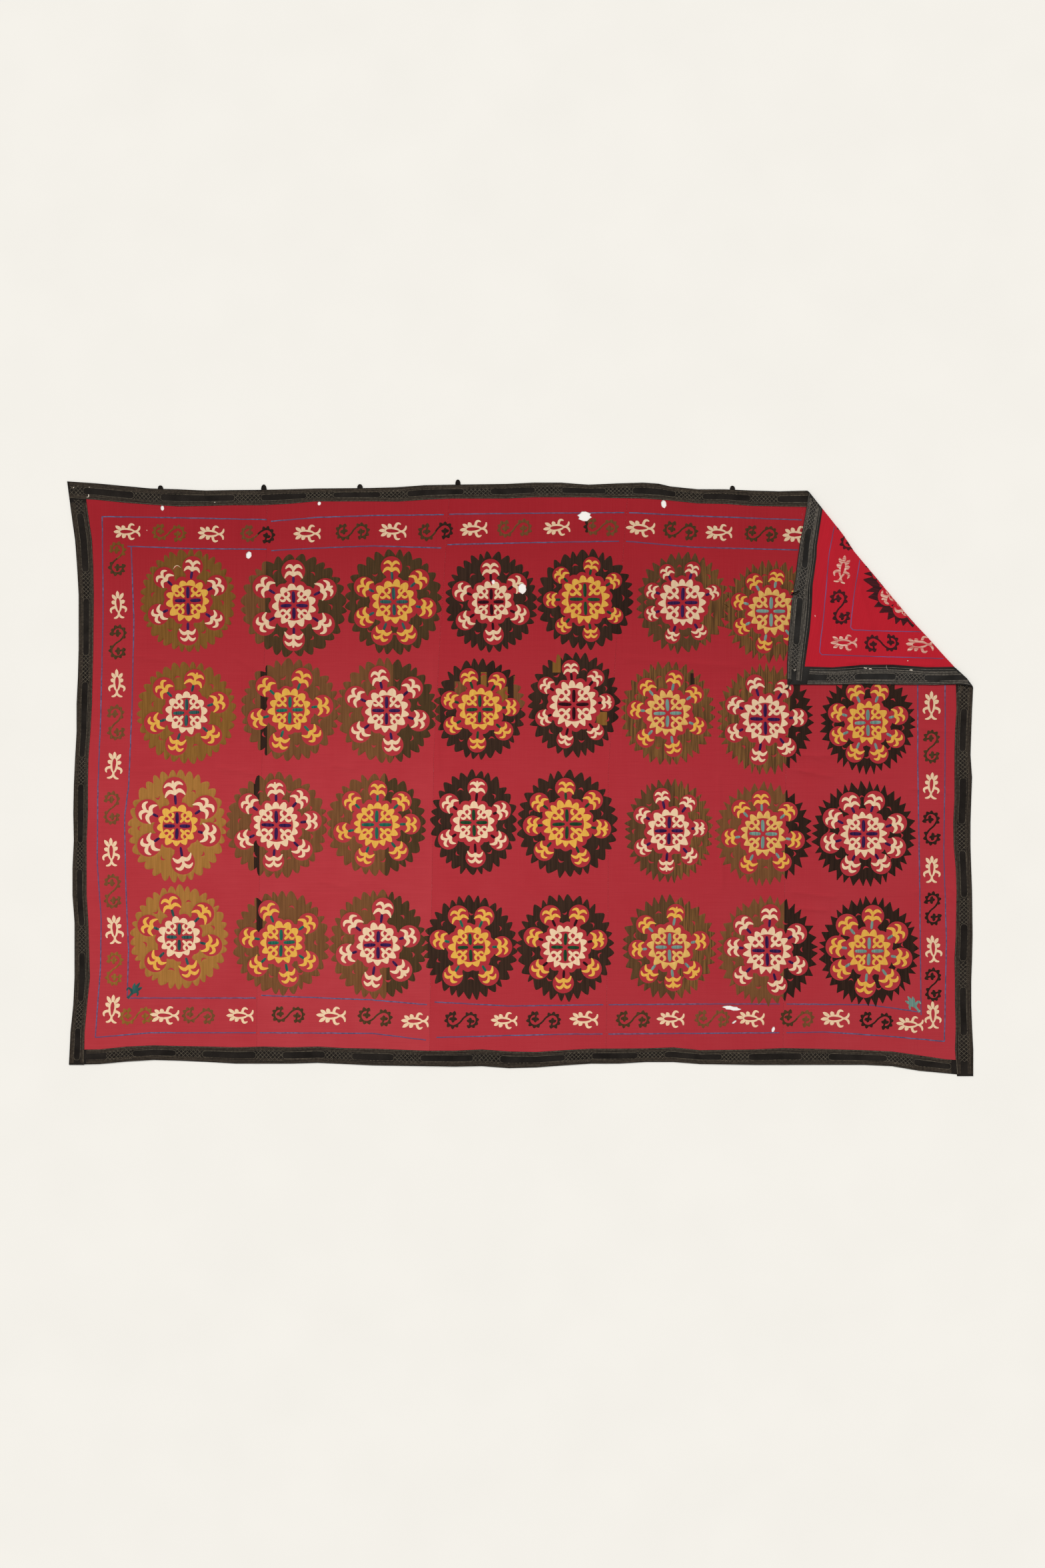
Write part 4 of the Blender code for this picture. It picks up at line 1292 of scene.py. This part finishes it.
# The corners of the inner line that a bush grows from, by pixels; and a thin cream arc on the first ring
Bush = namedtuple("Bush", "x y turn thread flip")
BUSHES = [Bush(192, 1497, 50, "teal", -1), Bush(1379.6, 1517.4, 130, "grey_teal", 1)]
STRAY_ARC = [(260, 854), (264.6, 844), (271, 851.5)]
STRAY_ARC_WIDE = [2, 3, 3.4, 3.4, 3.4, 3, 2]


def corner_sprig(bush):
    """A small bush growing from a corner of the inner line into the field, along the X axis."""
    shapes = [
        ribbon([(-2, 0), (14, 0), (30, 0), (48, 0)], [11, 8, 14, 17]), leaf((36, 0), (77, -3), 13, 0.45),
        leaf((34, -3), (63, -17), 12, 0.5), leaf((34, 3), (69, 16), 12, 0.5),
        ribbon(curve((30, -4), (40, -30), (19, -23), 7), [12, 10.5, 9.5, 9, 8.5, 7, 4]),
        ribbon(curve((33, 3), (52, 16), (29, 22), 7), [12, 11, 10.5, 10, 9, 8, 5]),
    ]
    stitch(bush.thread, [moved(shape, spot(bush.x, bush.y), bush.turn, 1, bush.flip) for shape in shapes])


# What is seen of the folded corner's back, by pixels where it lies now
BACK_LINES = [
    [(1252, 787), (1244, 830), (1241, 863), (1236.5, 917), (1229.3, 977.5), (1231, 982), (1302.6, 984.5),
     (1415, 988)],
    [(1289.6, 840), (1281, 895), (1276, 941), (1278, 945), (1335, 947), (1381, 948)],
]
BACK_PALMETTES = [(1264, 854, -102), (1266, 964, 0), (1379, 967, 0)]
BACK_SCROLLS = [(1270, 801, -80), (1260.5, 911, -82), (1323, 965, 2)]
BACK_ROSETTE = Rosette(1305.9, 925.2, 150, 156, 36, 33, 0.9, "back_black", "", "yellow", "back_cream",
                       "back_black", "", ())
BACK_NICHES = [(1329, 896), (1351, 918)]
TAIL = [(1253, 941), (1251.5, 947), (1256, 954)]


def work_back():
    rng = random.Random(50)
    for line in BACK_LINES:
        work_line("back_blue", line, 3.4, rng, back=True)
    for x, y, turn in BACK_PALMETTES:
        work_palmette(spot(x, y), turn, rng, back=True)
    for x, y, turn in BACK_SCROLLS:
        work_scroll(spot(x, y), turn, ["back_black"], -1, rng, back=True)
    work_line("back_black", TAIL, 2.5, rng, back=True)
    centre = np.array(spot(BACK_ROSETTE.x, BACK_ROSETTE.y))
    away = [unfolded(spot(*niche)) - centre for niche in BACK_NICHES]
    angles = tuple(math.degrees(math.atan2(y, x)) for x, y in away)
    work_rosette(70, BACK_ROSETTE._replace(niches=angles), back=True)


for number, rosette in enumerate(ROSETTES):
    work_rosette(number, rosette)
for side, motifs in BORDERS.items():
    work_border(side, motifs)
for side, runs in BLUE_LINES.items():
    for run in runs:
        work_line("blue", run, 4.8, random.Random(side))
for bush in BUSHES:
    corner_sprig(bush)
stitch("cream", [ribbon(curve(*(spot(*point) for point in STRAY_ARC)), STRAY_ARC_WIDE)])
work_back()


# ---------------------------------------------------------------- the pieces of cloth
def fold_cuts(outline):
    """Lines along the crease, close together round it, for a piece that crosses it."""
    outline = np.asarray(outline, float)
    from_start = outline - FOLD_START
    if (from_start @ FOLD_OUT - read_off(FOLD_BOW, from_start @ FOLD_ALONG, "out")).max() < -FOLD_RADIUS:
        return []
    along = np.arange(-40, FOLD_LENGTH + 40, GRID)
    bow = read_off(FOLD_BOW, along, "out")
    steps = [HALF_TURN * i / FOLD_STEPS - FOLD_RADIUS for i in range(FOLD_STEPS + 1)]
    steps += [HALF_TURN - FOLD_RADIUS + FLAP_SETTLES * i / SETTLE_STEPS for i in range(1, SETTLE_STEPS + 1)]
    lines = []
    for past in steps:
        line = FOLD_START + along[:, None] * FOLD_ALONG + (past + bow)[:, None] * FOLD_OUT
        lines.append(line[inside(line, outline)])
    return [line for line in lines if len(line) > 1]


def cloth(name, outline, thick, holes=()):
    """A piece of cloth, cut to its outline on the flat cloth and laid down."""
    fine = subdivided(outline, GRID)
    creases = [line[inside(line, fine)] for line in near_lines(CREASE_LINES, [fine])]
    cuts = [*fold_cuts(fine), *[line for line in creases if len(line) > 1]]
    points, faces = fill([fine], cuts=cuts, gone=holes)
    obj = flat_object(name, points, faces)
    thicken(obj, thick)
    return lay_down(obj, 0.0)


# How pale each loom width is made, from the left
WIDTH_PALENESS = (0.5, 0.66, 0.3, 0.3, 0.4)
LINES = [(LEFT, "inner"), *[(seam, "across") for seam in SEAMS], (RIGHT, "inner")]
for number, sides in enumerate(zip(LINES[:-1], LINES[1:]), start=1):
    outline = panel_outline(*sides)
    holes = [rim for rim, hole in zip(HOLE_RIMS, HOLES) if hole.panel == number]
    panel = cloth(f"cotton_panel_{number}", outline, PANEL_THICK, holes)
    width_paleness = panel.data.attributes.new("width_paleness", "FLOAT", "POINT")
    width_paleness.data.foreach_set("value", np.full(len(panel.data.vertices), WIDTH_PALENESS[number - 1], np.float32))
    panel.data.materials.append(COTTON)
    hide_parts(f"panel_{number}")

embroidery = {number: [] for number in range(1, 6)}
for (thread, number), pieces in sorted(worked.items(), key=str):
    shift, all_points, all_faces = 0, [], []
    for points, faces in pieces:
        all_points.append(points)
        all_faces.append(faces + shift)
        shift += len(points)
    obj = flat_object(f"silk_{thread}_{number}", np.vstack(all_points), np.vstack(all_faces))
    back = number == "back"
    raise_patches(obj, PROUD.get(thread, SILK_PROUD), SILK_EDGE)
    lay_down(obj, SUNK if back else PANEL_THICK - SUNK, reverse=back)
    obj.data.materials.append(THREADS[thread])
    embroidery[5 if back else number].append(obj)

BANDS = {
    "band_top": top_band_outline(), "band_right": right_band_outline(),
    "band_bottom": bottom_band_outline(), "band_left": left_band_outline(),
}
for name, outline in BANDS.items():
    band = cloth(f"velvet_{name}", outline, BAND_THICK)
    band.data.materials.append(VELVET)
    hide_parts(name)

# ---------------------------------------------------------------- the stitching on the band
# Each band's edges, and whether it runs up; how far its stitching reaches; and where a facing begins past
# the fold, which leaves this share of the black's width for the stitching
BAND_EDGES = {
    "band_top": (TOP, 0), "band_bottom": (BOTTOM, 0), "band_left": (LEFT, 1), "band_right": (RIGHT, 1),
}
PAST_FOLD = {"band_top": 1150, "band_right": 330}
BESIDE_FACING = 0.78
BAND_ENDS = {
    "band_top": (-1758, 1850), "band_bottom": (-1692, 1692), "band_left": (-1112, 1085),
    "band_right": (-1155, 985),
}
LATTICE_LONG = 104.0  # millimetres of lattice in a block
LATTICE_PITCH = 16.0


def on_band(name, along, share):
    """A place on a band: how far along its side, and its share of the way from outer to inner edge."""
    rows, upright = BAND_EDGES[name]
    outer, inner = read_off(rows, along, "outer"), read_off(rows, along, "inner")
    across = outer + share * (inner - outer)
    return np.column_stack((across, along) if upright else (along, across))


def lattice_middles(name):
    """The middles of the lattice blocks; the last ones are on the folded corner, given where they lie."""
    upright = BAND_EDGES[name][1]
    middles = [spot(px, px)[upright] for px in LATTICES[name]]
    middles += [float(unfolded(spot(*seen))[upright]) for seen in BACK_LATTICES.get(name, ())]
    return sorted(middles)


def band_strokes(name, rng):
    """Wavy lines along both edges, a frame in each plain stretch, and blocks of lattice between them.

    Each stroke is its kind and its points; the frames' ends are rounded.
    """
    low, high = BAND_ENDS[name]
    middles = [m for m in lattice_middles(name) if low < m < high]
    strokes = []
    along = np.arange(low, high, 14.0)
    past_fold = PAST_FOLD.get(name, math.inf)
    shrink = np.where(along > past_fold, BESIDE_FACING, 1.0)
    for share in (0.07, 0.14, 0.21, 0.28, 0.78, 0.85, 0.92):
        wave = 0.012 * np.sin(along / rng.uniform(60, 95) + rng.uniform(0, 6))
        wave += 0.006 * np.sin(along / rng.uniform(17, 30))
        strokes.append(("edge", on_band(name, along, (share + wave) * shrink)))
    strokes.append(("frame", on_band(name, along, 0.965 * shrink)))
    facing = along > past_fold
    if facing.any():
        strokes.append(("edge", on_band(name, along[facing], 0.86 + 0.01 * np.sin(along[facing] / 40))))
    ends = [low - LATTICE_LONG / 2 + 12, *middles, high + LATTICE_LONG / 2 - 12]
    for start, stop in zip(ends[:-1], ends[1:]):
        first, last = start + LATTICE_LONG / 2, stop - LATTICE_LONG / 2
        if last - first < 70:
            continue
        squeeze = BESIDE_FACING if (first + last) / 2 > past_fold else 1.0
        corner = np.array((0, 2, 7, 14))
        at = np.concatenate((first + corner, np.arange(first + 26, last - 26, 14), last - corner[::-1]))
        lift = np.concatenate(((0.45, 0.7, 0.92, 1), np.ones(len(at) - 8), (1, 0.92, 0.7, 0.45)))
        for half in (1, -1):
            strokes.append(("frame", on_band(name, at, (0.51 + half * 0.21 * lift) * squeeze)))
        for end in (first, last):
            closing = (0.51 + np.linspace(-0.095, 0.095, 4)) * squeeze
            strokes.append(("frame", on_band(name, np.full(4, end), closing)))
    for middle in middles:
        squeeze = BESIDE_FACING if middle > past_fold else 1.0
        feet = np.arange(-LATTICE_LONG / 2 - 14, LATTICE_LONG / 2 + 14, LATTICE_PITCH)
        for foot in feet + rng.uniform(-3, 3):
            for slant in (1, -1):
                share = np.linspace(0, 1, 9)
                at = middle + foot + slant * 42 * (share - 0.5) + rng.uniform(-1.2, 1.2)
                kept = (abs(at - middle) < LATTICE_LONG / 2 + 1) & (at > low) & (at < high)
                if kept.sum() > 2:
                    across = (0.17 + 0.68 * share[kept]) * squeeze
                    strokes.append(("frame", on_band(name, at[kept], across)))
    return strokes


def split_at_fold(line):
    """The part of a line on the cloth's face, and the part seen on the back of the folded corner."""
    from_start = line - FOLD_START
    past = from_start @ FOLD_OUT - read_off(FOLD_BOW, from_start @ FOLD_ALONG, "out")
    return line[past < -1], line[past > 4]


def worked_chains(name, strokes, wide, underside, material, back=False):
    """One piece of all the strokes, each a thin raised ribbon."""
    shift, all_points, all_faces = 0, [], []
    for line in strokes:
        stroke, count = ribbon(line, wide), len(line)
        all_points.append(stroke)
        all_faces += [
            (i + shift, i + 1 + shift, 2 * count - 2 - i + shift, 2 * count - 1 - i + shift)
            for i in range(count - 1)
        ]
        shift += len(stroke)
    mesh = bpy.data.meshes.new(name)
    places = np.vstack(all_points)
    mesh.from_pydata(np.column_stack((places, np.zeros(len(places)))).tolist(), [], all_faces)
    obj = bpy.data.objects.new(name, mesh)
    bpy.context.scene.collection.objects.link(obj)
    thicken(obj, STITCH_PROUD + STITCH_SUNK)
    lay_down(obj, underside, reverse=back)
    obj.data.materials.append(material)
    return obj


chains = {}
for name in BANDS:
    kinds = {"edge": [], "frame": [], "back": []}
    for kind, line in band_strokes(name, random.Random(f"chain {name}")):
        face, back = split_at_fold(line)
        if len(face) > 2:
            kinds[kind].append(face)
        if len(back) > 2:
            kinds["back"].append(back)
    chains[name] = [
        worked_chains(f"chain_edges_{name}", kinds["edge"], 3.0, BAND_THICK - STITCH_SUNK, EDGE_CHAIN),
        worked_chains(f"chain_frames_{name}", kinds["frame"], 1.3, BAND_THICK - STITCH_SUNK, FRAME_CHAIN),
    ]
    if kinds["back"]:
        chains[name].append(
            worked_chains(f"chain_back_{name}", kinds["back"], 1.6, STITCH_SUNK, BACK_CHAIN, back=True)
        )

# Flecks of pale lint and ends of thread: the piece they lie on, how wide they are, and their pixels
Fleck = namedtuple("Fleck", "on thread wide points")
FLECKS = [
    Fleck("band_top", "pale", 3.4, [(110, 731.4), (110.7, 731.7), (111.4, 731.8)]),
    Fleck("band_top", "pale", 3.0, [(133.6, 731), (134.3, 731.1), (135, 731)]),
    Fleck("band_top", "pale", 3.4, [(130.4, 746), (132.4, 745.6), (133.6, 743.8), (132.8, 742)]),
    Fleck("band_top", "pale", 2.4, [(321.6, 753.6), (322.6, 753.4), (323.4, 753.8)]),
    Fleck("panel_1", "pale", 2.4, [(220, 795), (220.6, 795.5), (221, 796)]),
    Fleck("panel_5_back", "pale", 2.6, [(1361, 991.4), (1361.8, 991), (1362.6, 991.4)]),
    Fleck("panel_5_back", "pale", 2.4, [(1222.4, 923), (1222.8, 924), (1223, 925)]),
    Fleck("band_right_back", "pale", 3.6, [(1296, 1001.6), (1298.4, 1002.2), (1300.6, 1002.4)]),
    Fleck("band_right_back", "pale", 3.0, [(1303.6, 1003.4), (1306, 1003), (1307.6, 1003.6)]),
    Fleck("band_right_back", "pale", 3.6, [(1364.6, 1005.4), (1366.6, 1004.8), (1368.8, 1005.6)]),
    Fleck("band_right_back", "pale", 3.6, [(1190.6, 1005.4), (1192, 1004.8), (1193.4, 1005.4)]),
    Fleck("band_right_back", "thread", 1.5,
          [(1330, 998.4), (1329.6, 1001), (1331.4, 1004.4), (1334.4, 1005.8), (1337, 1004.6)]),
    Fleck("band_top_back", "dark", 5.0, [(1200, 886.6), (1195, 889), (1190.6, 889.6), (1187, 892.6)]),
    Fleck("band_top_back", "dark", 3.4, [(1198, 890), (1193, 892.4), (1189, 890)]),
    Fleck("band_right_back", "dark", 5.0, [(1188, 1020), (1184, 1026), (1183, 1031), (1179.6, 1034)]),
]
LINT = {
    "pale": band_thread("pale_lint", "#E4D8C8", "#CDBBA8"), "dark": VELVET,
    "thread": band_thread("loose_thread", "#8F8377", "#75685C"),
}
REST_ON = {"band": BAND_THICK, "panel": PANEL_THICK}
for number, fleck in enumerate(FLECKS, start=1):
    back = fleck.on.endswith("_back")
    line = np.array([spot(*point) for point in fleck.points])
    line = unfolded(line) if back else line
    on = fleck.on.removesuffix("_back")
    underside = STITCH_SUNK if back else REST_ON[on.split("_")[0]] - STITCH_SUNK
    obj = worked_chains(f"fleck_{number}", [line], fleck.wide, underside, LINT[fleck.thread], back)
    (chains[on] if on in chains else embroidery[int(on[-1])]).append(obj)

for number, loop in enumerate(LOOPS, start=1):
    outline = np.array(loop_outline(loop))
    obj = cloth(f"tape_loop_{number}", outline, 2.0)
    obj.data.materials.append(VELVET)
    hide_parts(f"loop_{number}")

# ---------------------------------------------------------------- floor, light, camera
FLOOR_SIZE = 14.0
bpy.ops.mesh.primitive_plane_add(size=FLOOR_SIZE, location=(0, 0, -0.0004))
floor = bpy.context.object
floor.name = "floor"
floor.data.materials.append(plain_floor())

CAMERA_HIGH = 9.0  # metres
FRAME_MIDDLE_PX = (784, 1176)
FRAME_LONG_PX = 2352
SENSOR = 36.0
camera_data = bpy.data.cameras.new("camera")
camera = bpy.data.objects.new("camera", camera_data)
bpy.context.scene.collection.objects.link(camera)
frame_x, frame_y = (value * MM for value in spot(*FRAME_MIDDLE_PX))
camera.location = (frame_x, frame_y, CAMERA_HIGH)
camera_data.sensor_width = SENSOR
camera_data.lens = SENSOR * CAMERA_HIGH / (FRAME_LONG_PX * PIXEL * MM)
camera_data.clip_end = 60
bpy.context.scene.camera = camera

# A bright even room, and one large soft light from above and to the right
ROOM_COLOUR = (1, 0.995, 0.985, 1)
ROOM_BRIGHT = 0.62
SOFTBOX_BRIGHT = 1.85
SOFTBOX_WIDE = 25  # degrees
SOFTBOX_TURNED = (-38, -32, 0)
sky = bpy.data.worlds.new("studio")
bpy.context.scene.world = sky
sky.use_nodes = True
sky.node_tree.nodes["Background"].inputs["Color"].default_value = ROOM_COLOUR
sky.node_tree.nodes["Background"].inputs["Strength"].default_value = ROOM_BRIGHT
lamp_data = bpy.data.lights.new("softbox", "SUN")
lamp_data.energy = SOFTBOX_BRIGHT
lamp_data.angle = math.radians(SOFTBOX_WIDE)
lamp = bpy.data.objects.new("softbox", lamp_data)
lamp.rotation_euler = [math.radians(turned) for turned in SOFTBOX_TURNED]
bpy.context.scene.collection.objects.link(lamp)
bpy.context.scene.view_settings.view_transform = "Standard"
